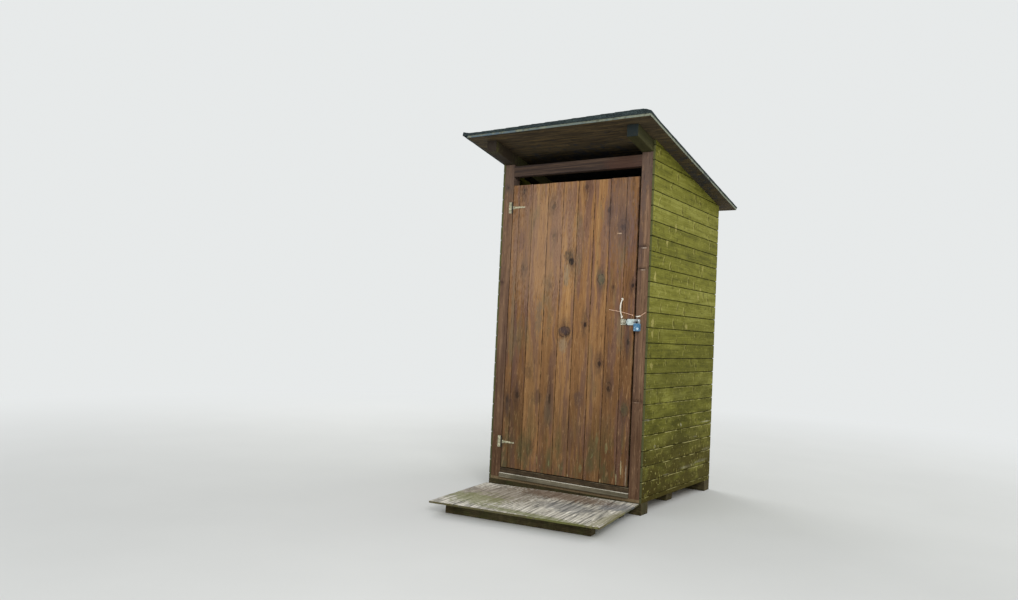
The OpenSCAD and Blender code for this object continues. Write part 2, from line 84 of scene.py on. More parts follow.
class Flow:
    """A value that runs from node to node and takes part in plain sums."""

    def __init__(self, wiring: Wiring, socket: Optional[NodeSocket], factors: Sequence[Feed] = ()) -> None:
        """Keeps a socket, or the factors of a product that has no node yet.

        Args:
            wiring: The tree's wiring.
            socket: The socket, or None for a product that waits for its node.
            factors: The product's factors.
        """
        self.wiring = wiring
        self.made = socket
        self.factors = factors

    @property
    def socket(self) -> NodeSocket:
        """Gives the socket, and adds a product's node the first time.

        Returns:
            The output socket.
        """
        if self.made is None:
            self.made = self.wiring.math("MULTIPLY", *self.factors).socket
        return self.made

    def __add__(self, other: Feed) -> Flow:
        """Adds a value, in one node with a product that has none yet.

        Args:
            other: The value.

        Returns:
            The sum.
        """
        for product, rest in ((self, other), (other, self)):
            if isinstance(product, Flow) and product.made is None:
                return self.wiring.math("MULTIPLY_ADD", *product.factors, rest)
        return self.wiring.math("ADD", self, other)

    def __mul__(self, other: Feed) -> Flow:
        """Gives a product."""
        return Flow(self.wiring, None, (self, other))

    def __sub__(self, other: Feed) -> Flow:
        """Takes a value away."""
        return self.wiring.math("SUBTRACT", self, other)

    def __rsub__(self, other: Feed) -> Flow:
        """Takes this away from a value."""
        return self.wiring.math("SUBTRACT", other, self)

    def __truediv__(self, other: Feed) -> Flow:
        """Divides by a value."""
        return self.wiring.math("DIVIDE", self, other)

    def __pow__(self, power: Feed) -> Flow:
        """Raises this to a power."""
        return self.wiring.math("POWER", self, power)

    def __rpow__(self, base: Feed) -> Flow:
        """Raises a value to this power."""
        return self.wiring.math("POWER", base, self)

    def __abs__(self) -> Flow:
        """Drops the sign."""
        return self.wiring.math("ABSOLUTE", self)

    __radd__ = __add__
    __rmul__ = __mul__


def light(colour: Feed, share: float = 1.0) -> Feed:
    """Turns a colour as seen on a screen, 0 to 255, into linear light, and leaves a flow alone.

    Args:
        colour: The colour.
        share: How much of its light is kept.

    Returns:
        Red, green, blue and 1, or the flow.
    """
    if isinstance(colour, Flow):
        return colour
    parts = [part / 255 for part in colour]
    return (*(share * (p / 12.92 if p <= 0.04045 else ((p + 0.055) / 1.055) ** 2.4) for p in parts), 1.0)


class Wiring:
    """Adds nodes to a tree and joins their sockets."""

    def __init__(self, tree: NodeTree) -> None:
        """Keeps the tree that is wired."""
        self.tree = tree
        self.grains: dict[Point, Flow] = {}

    def feed(self, value: Feed, socket: NodeSocket) -> None:
        """Links a flow to a socket, or writes a plain value there.

        Args:
            value: The flow or value.
            socket: The input socket.
        """
        if isinstance(value, Flow):
            self.tree.links.new(value.socket, socket)
        else:
            socket.default_value = value

    def add(self, kind: str, feeds: Optional[Feeds] = None, out: Key = 0, **settings: Any) -> Flow:
        """Adds one node.

        Args:
            kind: The node's type.
            feeds: What goes into its inputs, by name or number.
            out: The output wanted.
            settings: The node's own settings.

        Returns:
            The output.
        """
        node = self.tree.nodes.new(kind)
        for name, value in settings.items():
            setattr(node, name, value)
        for key, value in (feeds or {}).items():
            self.feed(value, node.inputs[key])
        return Flow(self, node.outputs[out])

    def geo(self, kind: str, feeds: Optional[Feeds] = None, out: Key = 0, **settings: Any) -> Flow:
        """Adds one geometry node, named without its prefix."""
        return self.add("GeometryNode" + kind, feeds, out, **settings)

    def math(self, operation: str, *values: Feed) -> Flow:
        """Adds a Math node on one to three values."""
        return self.add("ShaderNodeMath", dict(enumerate(values)), operation=operation)

    def vector(self, operation: str, *values: Feed) -> Flow:
        """Adds a Vector Math node and gives its vector."""
        return self.add("ShaderNodeVectorMath", dict(enumerate(values)), operation=operation)

    def scaled(self, vector: Feed, share: Feed) -> Flow:
        """Gives a vector made longer or shorter."""
        return self.add("ShaderNodeVectorMath", {0: vector, "Scale": share}, operation="SCALE")

    def outputs(self, flow: Flow) -> list[Flow]:
        """Gives every output of the node that a flow comes from."""
        return [Flow(self, socket) for socket in flow.socket.node.outputs]

    def split(self, vector: Feed) -> list[Flow]:
        """Gives a vector's three parts."""
        return self.outputs(self.add("ShaderNodeSeparateXYZ", {0: vector}))

    def join(self, x: Feed, y: Feed, z: Feed) -> Flow:
        """Makes a vector of three parts."""
        return self.add("ShaderNodeCombineXYZ", {0: x, 1: y, 2: z})

    def place(self) -> Flow:
        """Gives the object coordinates."""
        return self.add("ShaderNodeTexCoord", out="Object")

    def attribute(self, name: str, out: str = "Vector") -> Flow:
        """Reads a mesh attribute in a material."""
        return self.add("ShaderNodeAttribute", out=out, attribute_name=name)

    def noise(
        self, place: Feed, scale: float, detail: float = 2.0, rough: float = 0.5, twist: float = 0.0,
    ) -> Flow:
        """Adds a Noise Texture and gives its factor."""
        feeds = {"Vector": place, "Scale": scale, "Detail": detail, "Roughness": rough, "Distortion": twist}
        return self.add("ShaderNodeTexNoise", feeds)

    def band(self, value: Feed, start: Feed, end: Feed, low: Feed = 0.0, high: Feed = 1.0) -> Flow:
        """Maps start to end onto low to high with soft ends."""
        feeds = {"Value": value, 1: start, 2: end, 3: low, 4: high}
        return self.add("ShaderNodeMapRange", feeds, interpolation_type="SMOOTHSTEP")

    def mix(self, factor: Feed, first: Feed, second: Feed, share: float = 1.0, blend: str = "MIX") -> Flow:
        """Mixes two colours, of which the second keeps a share of its light."""
        feeds = {0: factor, 6: light(first), 7: light(second, share)}
        return self.add("ShaderNodeMix", feeds, 2, data_type="RGBA", blend_type=blend, clamp_factor=True)

    def ramp(self, factor: Feed, stops: Sequence[tuple[float, Colour]]) -> Flow:
        """Adds a Color Ramp with the stops given.

        Args:
            factor: The value looked up.
            stops: Places and colours, from low to high.

        Returns:
            The colour.
        """
        flow = self.add("ShaderNodeValToRGB", {0: factor})
        elements = flow.socket.node.color_ramp.elements
        while len(elements) < len(stops):
            elements.new(0.5)
        for element, (place, colour) in zip(elements, stops):
            element.position = place
            element.color = light(colour)
        return flow

    def rotation(self, angles: Feed) -> Flow:
        """Turns Euler angles into a rotation."""
        return self.add("FunctionNodeEulerToRotation", {0: angles})

    def real(self, mesh: Feed) -> Flow:
        """Turns instances into plain mesh."""
        return self.geo("RealizeInstances", {"Geometry": mesh})

    def joined(self, *meshes: Feed) -> Flow:
        """Joins meshes in one.

        Args:
            *meshes: The meshes.

        Returns:
            The joined mesh.
        """
        flow = self.geo("JoinGeometry")
        for mesh in meshes:
            self.feed(mesh, flow.socket.node.inputs[0])
        return flow

    def inputs(self) -> dict[str, Flow]:
        """Gives the tree's own inputs, by name."""
        return {socket.name: Flow(self, socket) for socket in self.tree.nodes.new("NodeGroupInput").outputs}

    def read(self, name: str, kind: str = "FLOAT_VECTOR") -> Flow:
        """Reads a mesh attribute in a geometry tree."""
        return self.geo("InputNamedAttribute", {"Name": name}, data_type=kind)

    def store(self, mesh: Feed, name: str, value: Feed, kind: str = "FLOAT_VECTOR") -> Flow:
        """Writes a mesh attribute on points."""
        feeds = {"Geometry": mesh, "Name": name, "Value": value}
        return self.geo("StoreNamedAttribute", feeds, data_type=kind, domain="POINT")


def new_material(name: str, **uniform: Feed) -> tuple[Material, Wiring, Node]:
    """Makes a material with one Principled shader.

    Args:
        name: The material's name.
        uniform: Values that are the same all over, by socket name with _ for a space.

    Returns:
        The material, its wiring and the shader node.
    """
    material = bpy.data.materials.new(name)
    material.use_nodes = True
    tree = material.node_tree
    tree.nodes.clear()
    w = Wiring(tree)
    flow = w.add("ShaderNodeBsdfPrincipled")
    w.feed(flow, tree.nodes.new("ShaderNodeOutputMaterial").inputs["Surface"])
    shader = flow.socket.node
    for key, value in uniform.items():
        shader.inputs[key.replace("_", " ")].default_value = value
    return material, w, shader


def put(w: Wiring, shader: Node, colour: Feed, rough: Feed, height: Feed, depth: float) -> None:
    """Joins colour, roughness and bump to a shader.

    Args:
        w: The material's wiring.
        shader: Its Principled node.
        colour: The base colour.
        rough: The roughness.
        height: The bump's height, about 0 to 1.
        depth: How deep the bump is, in metres.
    """
    bump = w.add("ShaderNodeBump", {"Strength": 1.0, "Distance": depth, "Height": height})
    for name, value in (("Base Color", colour), ("Roughness", rough), ("Normal", bump)):
        w.feed(value, shader.inputs[name])


# Finishes


@dataclass(frozen=True)
class Knot:
    """A knot on a front face: its place, radius and how far it stretches along the grain."""

    x: float
    z: float
    radius: float
    stretch: float = 1.4
    rim: float = 0.22
    strength: float = 1.0


@dataclass(frozen=True)
class Mark:
    """A patch: its middle, how far it reaches each way (0 for right through), its colour and strength."""

    spot: Point
    reach: Point
    colour: Colour
    amount: float
    grain: Point = (140.0, 140.0, 30.0)

    def lay(self, w: Wiring, colour: Feed, place: Feed) -> Flow:
        """Lays the patch over a colour.

        Args:
            w: The material's wiring.
            colour: The colour below.
            place: The position.

        Returns:
            The new colour.
        """
        scale = tuple(1 / reach if reach else 0.0 for reach in self.reach)
        near = w.vector("MULTIPLY", w.vector("SUBTRACT", place, self.spot), scale)
        far = w.add("ShaderNodeVectorMath", {0: near}, out="Value", operation="LENGTH")
        if self.grain not in w.grains:
            w.grains[self.grain] = w.noise(w.vector("MULTIPLY", place, self.grain), 1.0, 4.0, 0.65)
        mask = w.band((w.grains[self.grain] - 0.5) * 2.6 + far, 1.0, 0.5)
        return w.mix(mask * self.amount, colour, self.colour)


def on_front(*rows: tuple) -> tuple[Mark, ...]:
    """Gives patches on a front face, each of x, z, width, height, colour and strength."""
    return tuple(Mark((x, 0.0, z), (wide, 0.0, high), *look) for x, z, wide, high, *look in rows)


def on_right(*rows: tuple) -> tuple[Mark, ...]:
    """Gives patches on the right wall, each of y, z, length, height, colour and strength."""
    grain = (84.0, 84.0, 60.0)
    return tuple(Mark((0.54, y, z), (0.1, long, high), *look, grain) for y, z, long, high, *look in rows)


def from_above(*rows: tuple, grain: Point = (140.0, 140.0, 30.0)) -> tuple[Mark, ...]:
    """Gives patches that go right through, each of x, y, width, length, colour and strength."""
    return tuple(Mark((x, y, 0.0), (wide, long, 0.0), *look, grain) for x, y, wide, long, *look in rows)


class Side(Enum):
    """Which part of a board a layer keeps to."""

    BOTH = "both long edges"
    UPPER = "the upper long edge"
    FACE = "the outer face"


@dataclass(frozen=True)
class Wear:
    """A layer on wood, weather in most tables and painted shade or a painted highlight in some: colour,
    amount, heights where it is full and gone, patch size and cut.
    """

    colour: Colour
    amount: float
    full: float
    gone: float
    scale: Point
    cut: Pair
    edge: float = 0.0
    side: Side = Side.BOTH

    def lay(self, w: Wiring, colour: Feed, place: Feed, near: Feed) -> Flow:
        """Lays the layer over the wood.

        Args:
            w: The material's wiring.
            colour: The colour below.
            place: The position.
            near: How near the side that it keeps to is, 0.5 on it.

        Returns:
            The new colour.
        """
        spread = w.noise(w.vector("MULTIPLY", place, self.scale), 1.0, 4.0, 0.62)
        fade = w.band(w.split(place)[2], self.full, self.gone, 1.0, 0.0)
        mask = w.band(spread, *self.cut) * (fade * self.amount)
        if self.edge:
            mask = mask * w.band(near, self.edge, 0.5 * self.edge + 0.24)
        return w.mix(mask, colour, self.colour)


@dataclass(frozen=True)
class Finish:
    """What all finishes share: a name, and a material that is built once."""

    name: str
    made: ClassVar[dict[str, Material]] = {}

    @property
    def material(self) -> Material:
        """Gives the material, and builds it the first time.

        Returns:
            The material.
        """
        if self.name not in self.made:
            self.made[self.name] = self.build()
        return self.made[self.name]

    def build(self) -> Material:
        """Builds the material."""
        raise NotImplementedError


@dataclass(frozen=True)
class WoodFinish(Finish):
    """Sawn softwood: rings, streaks and fibres along each piece's length, knots and weather, with painted
    shade at the long edges and on pieces numbered above 1.
    """

    deep: Colour
    base: Colour
    pale: Colour
    ring: float = 0.3
    ring_gap: float = 0.008
    sway: float = 0.02
    streak: float = 0.7
    streak_scale: float = 24.0
    fibre: float = 0.25
    tint: float = 0.16
    knots: tuple[Knot, ...] = ()
    marks: tuple[Mark, ...] = ()
    knot_colour: Colour = (48, 34, 26)
    spikes: float = 0.0
    spike_pale: Colour = (150, 146, 90)
    wear: tuple[Wear, ...] = ()
    # Painted shade mixed with patchy dirt towards each board's long edges: its strength and where it starts.
    grime: float = 0.5
    grime_from: float = 0.44
    saw: float = 0.0
    rough: float = 0.72
    depth: float = 0.0006
    gloss: float = 0.15
    mottle: float = 0.0
    cast: Colour = (0, 0, 0)
    cast_amount: float = 0.0
    end: Colour = (0, 0, 0)
    end_amount: float = 0.0

    def between(self, left: float, right: float, number: int) -> WoodFinish:
        """Gives the finish of one board, with only the knots and patches that reach it.

        Args:
            left: Where the board starts, across the front.
            right: Where it ends.
            number: The board's number, for the name.

        Returns:
            The board's finish.
        """
        knots = tuple(k for k in self.knots if left - 2 * k.radius < k.x < right + 2 * k.radius)
        marks = tuple(m for m in self.marks if left - m.reach[0] < m.spot[0] < right + m.reach[0])
        return replace(self, name=f"{self.name}_{number}", knots=knots, marks=marks)

    def build(self) -> Material:
        """Builds a material that reads the local, unit and board attributes.

        Returns:
            The material.
        """
        material, w, shader = new_material(self.name, Specular_IOR_Level=self.gloss)
        board = w.attribute("board", "Fac")
        place = w.place()
        along, across, through = w.split(w.attribute("local"))
        core, halo, push = self.lay_knots(w, place)
        across = across + push
        shift = board * 37.0

        wander = w.noise(w.join(along * 1.6 + shift, shift, 0.0), 1.0, 1.0)
        bent = wander * self.sway + across
        side = bent - (w.math("FRACT", board * 91.7) - 0.5) * 0.14
        deep = through + (w.math("FRACT", board * 53.3) * 0.05 + 0.03)
        radius = w.math("SQRT", side * side + deep * deep)
        slow = w.noise(w.join(along * 1.8 + shift, across * 14.0, through * 14.0), 1.0, 2.0)
        radius = slow * 0.03 + radius + along * 0.012
        rings = (w.math("SINE", radius * (2 * math.pi / self.ring_gap)) * 0.5 + 0.5) ** 1.6

        scale = self.streak_scale
        broad = w.noise(w.join(along * 1.1 + shift, bent * scale, through * scale), 1.0, 5.0, 0.74)
        fibre = w.noise(w.join(along * 10.0 + shift, bent * 420.0, through * 420.0), 1.0, 2.0, 0.6)
        tone = (broad - 0.5) * self.streak + 0.5
        tone = (0.45 - rings) * self.ring + tone
        tone = (fibre - 0.5) * self.fibre + tone
        tone = (w.math("FRACT", board * 17.9) - 0.5) * self.tint + tone
        if self.mottle:
            cross = w.noise(w.join(along * 6.0 + shift, across * 17.0, shift), 1.0, 4.0, 0.68)
            tone = (cross - 0.5) * self.mottle + tone
        colour = w.ramp(tone, [(0.12, self.deep), (0.5, self.base), (0.88, self.pale)])
        if self.cast_amount:
            drift = w.noise(w.join(along * 1.7 + shift * 2.3, bent * 17.0, 4.0), 1.0, 3.0, 0.6)
            colour = w.mix(w.band(drift, 0.47, 0.6) * self.cast_amount, colour, self.cast)

        height = fibre * 0.5 + rings * 0.35
        if self.spikes:
            colour, height = self.lay_spikes(w, colour, height, along, across, shift)
        if self.knots:
            colour = w.mix(halo * 0.62, colour, self.knot_colour)
            colour = w.mix(core * 0.92, colour, self.knot_colour, 0.35)
            height = core * 0.5 + height
        ends, upper, outer = w.split(w.attribute("unit"))
        sides = {Side.BOTH: abs(upper), Side.UPPER: upper, Side.FACE: outer}
        # Painted shade with dirt: the boards darken in patches towards their long edges, where the joints
        # lie in shade.
        if self.grime:
            patch = w.band(w.noise(place, 23.0, 3.0, 0.6), 0.3, 0.65)
            dirt = w.band(sides[Side.BOTH], self.grime_from, 0.5) * (patch * self.grime)
            colour = w.mix(dirt, colour, self.deep, 0.35)
        for mark in self.marks:
            colour = mark.lay(w, colour, place)
        for layer in self.wear:
            colour = layer.lay(w, colour, place, sides[layer.side])
        if self.saw:
            teeth = w.noise(w.join(along * 260.0, across * 11.0, shift), 1.0, 2.0, 0.6)
            height = teeth * self.saw + height
            colour = w.mix(w.band(teeth, 0.42, 0.75) * (0.24 * self.saw), colour, self.deep)
        if self.end_amount:
            cut = w.band(abs(ends), 0.4993, 0.4997)
            colour = w.mix(cut * self.end_amount, colour, self.end)
        # Painted shade: pieces numbered above 1, the tongues seen in the joints, are darkened as if in the
        # joint's shadow.
        colour = w.mix(w.math("GREATER_THAN", board, 1.0) * 0.85, colour, self.deep, 0.18)
        rough = broad * 0.16 + (fibre * 0.1 + (self.rough - 0.13))
        put(w, shader, colour, rough, height, self.depth)
        return material

    def lay_knots(self, w: Wiring, place: Feed) -> tuple[Feed, Feed, Feed]:
        """Adds the placed knots.

        Args:
            w: The material's wiring.
            place: The position.

        Returns:
            The knots' cores, their halos and how far the grain is pushed aside.
        """
        core: Feed = 0.0
        halo: Feed = 0.0
        push: Feed = 0.0
        for knot in self.knots:
            feeds = {
                "Position": place, "Centre": (knot.x, 0.0, knot.z), "Radius": knot.radius,
                "Stretch": knot.stretch, "Rim": knot.rim, "Strength": knot.strength,
            }
            own = w.outputs(w.add("ShaderNodeGroup", feeds, node_tree=knot_group()))
            core = w.math("MAXIMUM", core, own[0])
            halo = w.math("MAXIMUM", halo, own[1])
            push = own[2] + push
        return core, halo, push

    def lay_spikes(
        self, w: Wiring, colour: Feed, height: Feed, along: Flow, across: Flow, shift: Flow
    ) -> tuple[Flow, Flow]:
        """Adds knots that the saw cut lengthwise, about one to every cell along the board.

        Args:
            w: The material's wiring.
            colour: The colour below.
            height: The bump below.
            along: Distance along the board.
            across: Distance across the board.
            shift: The board's own offset.

        Returns:
            The new colour and bump.
        """
        gap = 0.19
        run = along * (1 / gap) + shift
        cell = w.add("ShaderNodeTexVoronoi", {"W": run, "Scale": 1.0}, out="Color", voronoi_dimensions="1D")
        middle = Flow(w, cell.socket.node.outputs["W"])
        first, second, third = w.split(cell)
        rise = across - (first - 0.5) * 0.06
        off = rise * ((second - 0.5) * 0.9) + (run - middle) * gap
        ragged = (w.noise(w.join(along, across, shift), 75.0, 2.0) - 0.5) * 1.3
        flat = off / (second * 0.007 + 0.006)
        tall = rise / (third * 0.018 + 0.008)
        far = w.math("SQRT", flat * flat + tall * tall) + ragged
        shown = w.math("GREATER_THAN", w.math("FRACT", third * 7.3), 1.0 - self.spikes)
        dark = w.band(far, 1.1, 0.4) * shown
        ring = w.band(far, 0.8, 1.15) * w.band(far, 2.1, 1.3) * shown
        pale = ring * w.band(flat, 0.6, -0.6)
        # Each spike's pale stroke gets a painted shadow beside it.
        shadow = ring * w.band(flat, -0.2, 0.9)
        colour = w.mix(w.math("MAXIMUM", dark, shadow * 0.7) * 0.6, colour, self.knot_colour)
        strong = w.math("FRACT", third * 29.0) * 0.75 + 0.2
        colour = w.mix(pale * strong, colour, self.spike_pale)
        return colour, dark * 0.5 + height


@cache
def knot_group() -> NodeTree:
    """Gives the node group that one placed knot needs.

    Returns:
        A group with Core, Halo and Push outputs.
    """
    tree = bpy.data.node_groups.new("knot", "ShaderNodeTree")
    for name in ("Position", "Centre"):
        tree.interface.new_socket(name, in_out="INPUT", socket_type="NodeSocketVector")
    for name in ("Radius", "Stretch", "Rim", "Strength"):
        tree.interface.new_socket(name, in_out="INPUT", socket_type="NodeSocketFloat")
    for name in ("Core", "Halo", "Push"):
        tree.interface.new_socket(name, in_out="OUTPUT", socket_type="NodeSocketFloat")
    w = Wiring(tree)
    source, sink = w.inputs(), tree.nodes.new("NodeGroupOutput").inputs
    x, _, z = w.split(w.vector("SUBTRACT", source["Position"], source["Centre"]))
    flat = x / source["Radius"]
    tall = z / (source["Radius"] * source["Stretch"])
    far = w.math("SQRT", tall * tall + flat * flat)
    ragged = w.noise(w.vector("MULTIPLY", source["Position"], (95.0, 95.0, 42.0)), 1.0, 4.0, 0.68) - 0.5
    uneven = ragged * 0.9 + far
    drawn = tall * 0.42
    flame = ragged * 1.5 + w.math("SQRT", drawn * drawn + flat * flat)
    ring = w.band(uneven, 0.75, 0.98) * w.band(uneven, 1.2, 1.0)
    own = w.add("ShaderNodeTexWhiteNoise", {"Vector": source["Centre"]}, out="Color")
    off_x, off_z, _ = w.split(w.vector("SUBTRACT", own, (0.5, 0.5, 0.5)))
    aside = off_x * 0.9 + flat
    aloft = off_z * 0.9 + tall
    heart = w.band(ragged * 1.2 + w.math("SQRT", aloft * aloft + aside * aside), 0.75, 0.3)
    strength = source["Strength"]
    w.feed(w.math("MAXIMUM", ring * source["Rim"], heart) * strength, sink["Core"])
    w.feed(w.band(flame, 1.9, 0.2) * strength, sink["Halo"])
    fall = math.e ** (far * far * -0.35)
    w.feed(x * fall * -0.8, sink["Push"])
    return tree


@dataclass(frozen=True)
class SheetFinish(Finish):
    """A weathered wooden sheet: face veneer with long grain, stains, and plies on its edges."""

    deep: Colour
    base: Colour
    pale: Colour
    edge: Colour
    stain: Colour
    stain_amount: float
    turn: float
    grain: float
    cracks: float
    contrast: float = 0.9
    marks: tuple[Mark, ...] = ()

    def build(self) -> Material:
        """Builds a material that reads the local and unit attributes.

        Returns:
            The material.
        """
        material, w, shader = new_material(self.name, Specular_IOR_Level=0.25)
        local, place = w.attribute("local"), w.place()
        feeds = {"Vector": local, "Angle": self.turn}
        along, across, _ = w.split(w.add("ShaderNodeVectorRotate", feeds, rotation_type="Z_AXIS"))
        rim_x, rim_y, through = w.split(w.attribute("unit"))
        slow = w.noise(w.join(along * 1.2, across * 7.0, 0.0), 1.0, 2.0)
        rings = w.math("FRACT", slow * (15.0 * self.grain))
        long = w.noise(w.join(along * 3.5, across * 60.0, 3.0), 1.0, 3.0, 0.6)
        fibre = w.noise(w.join(along * 22.0, across * 700.0, 5.0), 1.0, 2.0)
        blot = w.noise(w.vector("MULTIPLY", local, (4.2, 3.0, 3.4)), 1.0, 5.0, 0.66, 0.6)
        tone = (long - 0.5) * self.contrast + 0.5
        tone = (rings - 0.5) * -0.16 + tone
        tone = (fibre - 0.5) * 0.3 + tone
        tone = (blot - 0.5) * 0.5 + tone
        colour = w.ramp(tone, [(0.15, self.deep), (0.5, self.base), (0.85, self.pale)])
        colour = w.mix(w.band(blot, 0.5, 0.64) * self.stain_amount, colour, self.stain)
        split = w.noise(w.join(along * 2.2, across * 95.0, 9.0), 1.0, 2.0)
        crack = w.band(split, 0.64, 0.7) * self.cracks
        colour = w.mix(crack, colour, self.deep, 0.22)
        plies = w.math("SINE", through * 44.0) * 0.5 + 0.5
        edge = w.mix(plies * 0.45, self.edge, self.edge, 0.35)
        edge = w.mix(w.band(w.noise(local, 55.0, 3.0), 0.5, 0.7) * 0.55, edge, self.deep)
        rim = w.math("MAXIMUM", abs(rim_x), abs(rim_y))
        colour = w.mix(w.band(rim, 0.4985, 0.4995), colour, edge)
        for mark in self.marks:
            colour = mark.lay(w, colour, place)
        height = fibre * 0.4 + (long * 0.6 + crack * -1.2)
        put(w, shader, colour, long * 0.15 + 0.72, height, 0.0008)
        return material


@dataclass(frozen=True)
class ShingleFinish(Finish):
    """Bitumen shingles with mineral grit, dust and moss."""

    base: Colour
    grit: Colour
    moss: Colour

    def build(self) -> Material:
        """Builds a material on object coordinates, with the board attribute's tint.

        Returns:
            The material.
        """
        material, w, shader = new_material(self.name, Specular_IOR_Level=0.2)
        place = w.place()
        grains = w.add("ShaderNodeTexVoronoi", {"Vector": place, "Scale": 620.0}, out="Color")
        spot = w.add("ShaderNodeSeparateColor", {0: grains})
        blot = w.noise(place, 9.0, 4.0, 0.6)
        fine = w.noise(place, 160.0, 3.0, 0.6)
        mixed = w.mix(w.band(spot, 0.45, 0.95), self.base, self.grit)
        tint = w.attribute("board", "Fac") * 0.4 + (blot * 0.7 + 0.45)
        mixed = w.mix(1.0, mixed, w.join(tint, tint, tint), blend="MULTIPLY")
        up = w.split(w.add("ShaderNodeNewGeometry", out="Normal"))[2]
        green = w.band(fine * 0.3 + blot, 0.66, 0.8) * w.band(up, 0.1, 0.7)
        colour = w.mix(green * 0.8, mixed, self.moss)
        height = spot * 0.6 + (green * 0.8 + fine)
        put(w, shader, colour, fine * 0.12 + 0.84, height, 0.0007)
        return material


@dataclass(frozen=True)
class MetalFinish(Finish):
    """Metal with a coat of zinc or paint that has chipped and stained."""

    coat: Colour
    dull: Colour
    bare: Colour
    metallic: float
    rough: float
    chips: float
    rust: float
    scale: float = 1.0
    marks: tuple[Mark, ...] = ()
    rust_colour: Colour = (104, 62, 36)

    def build(self) -> Material:
        """Builds a material on object coordinates.

        Returns:
            The material.
        """
        material, w, shader = new_material(self.name)
        place = w.place()
        blot = w.noise(place, 70.0 * self.scale, 4.0, 0.6)
        fine = w.noise(place, 420.0 * self.scale, 3.0, 0.65)
        colour = w.mix(w.band(blot, 0.35, 0.7), self.coat, self.dull)
        colour = w.mix(fine * 0.25, colour, self.dull)
        worn = w.band(fine * 0.5 + blot, 0.82, 0.9) * self.chips
        colour = w.mix(worn, colour, self.bare)
        stain = w.band(w.noise(place, 130.0 * self.scale, 4.0, 0.7), 0.58, 0.72) * self.rust
        colour = w.mix(stain, colour, self.rust_colour)
        for mark in self.marks:
            colour = mark.lay(w, colour, place)
        w.feed(self.metallic - stain * self.metallic, shader.inputs["Metallic"])
        height = stain * 0.6 + (fine * 0.3 + worn * -0.6)
        rough = stain * 0.3 + (blot * 0.22 + (self.rough - 0.08))
        put(w, shader, colour, rough, height, 0.00025)
        return material


@dataclass(frozen=True)
class CordFinish(Finish):
    """Twisted fibre cord, greyed and dirty in patches."""

    base: Colour
    dirt: Colour

    def build(self) -> Material:
        """Builds a material on object coordinates.

        Returns:
            The material.
        """
        sheen = {"Sheen_Weight": 0.25, "Sheen_Roughness": 0.6}
        material, w, shader = new_material(self.name, Specular_IOR_Level=0.2, **sheen)
        place = w.place()
        fibre = w.noise(w.vector("MULTIPLY", place, (1.0, 1.0, 0.35)), 2400.0, 2.0, 0.6)
        colour = w.mix(w.band(w.noise(place, 90.0, 3.0, 0.6), 0.4, 0.75), self.base, self.dirt)
        colour = w.mix(w.band(fibre, 0.45, 0.75) * 0.4, colour, self.dirt)
        put(w, shader, colour, fibre * 0.15 + 0.8, fibre, 0.0003)
        return material


# Timber shapes


@dataclass(frozen=True)
class Stick:
    """One sawn length: its middle, its size along, across and through, its directions and its cuts."""

    middle: Point
    size: Point
    along: Point
    face: Point
    cuts: Spots = ()
    shade: Optional[float] = None

    @classmethod
    def between(cls, low: Place, high: Place, along: str, face: str, cuts: Spots = ()) -> Stick:
        """Makes a stick that fills a box.

        Args:
            low: The box's lowest corner.
            high: Its highest corner.
            along: The axis of the grain, X, Y or Z.
            face: The axis through the thickness.
            cuts: Planes, each a point and the direction that is cut away.

        Returns:
            The stick.
        """
        run, thick = "XYZ".index(along), "XYZ".index(face)
        span = [top - bottom for bottom, top in zip(low, high)]
        middle = tuple((top + bottom) / 2 for bottom, top in zip(low, high))
        unit = [tuple(float(i == j) for j in range(3)) for i in range(3)]
        return cls(middle, (span[run], span[3 - run - thick], span[thick]), unit[run], unit[thick], cuts)

    @classmethod
    def of_node(cls, node: str, along: str, face: str) -> Stick:
        """Makes a stick that fills a node's box."""
        return cls.between(*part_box(node), along, face)

    def in_shade(self) -> Stick:
        """Gives the stick a board number above 1, which its finish darkens as painted shade."""
        return replace(self, shade=1.5)

    def turn(self) -> Point:
        """Gives the Euler angles that lay the stick.

        Returns:
            The three angles in radians.
        """
        run = Vector(self.along).normalized()
        face = Vector(self.face).normalized()
        return tuple(Matrix((run, face.cross(run), face)).transposed().to_euler())


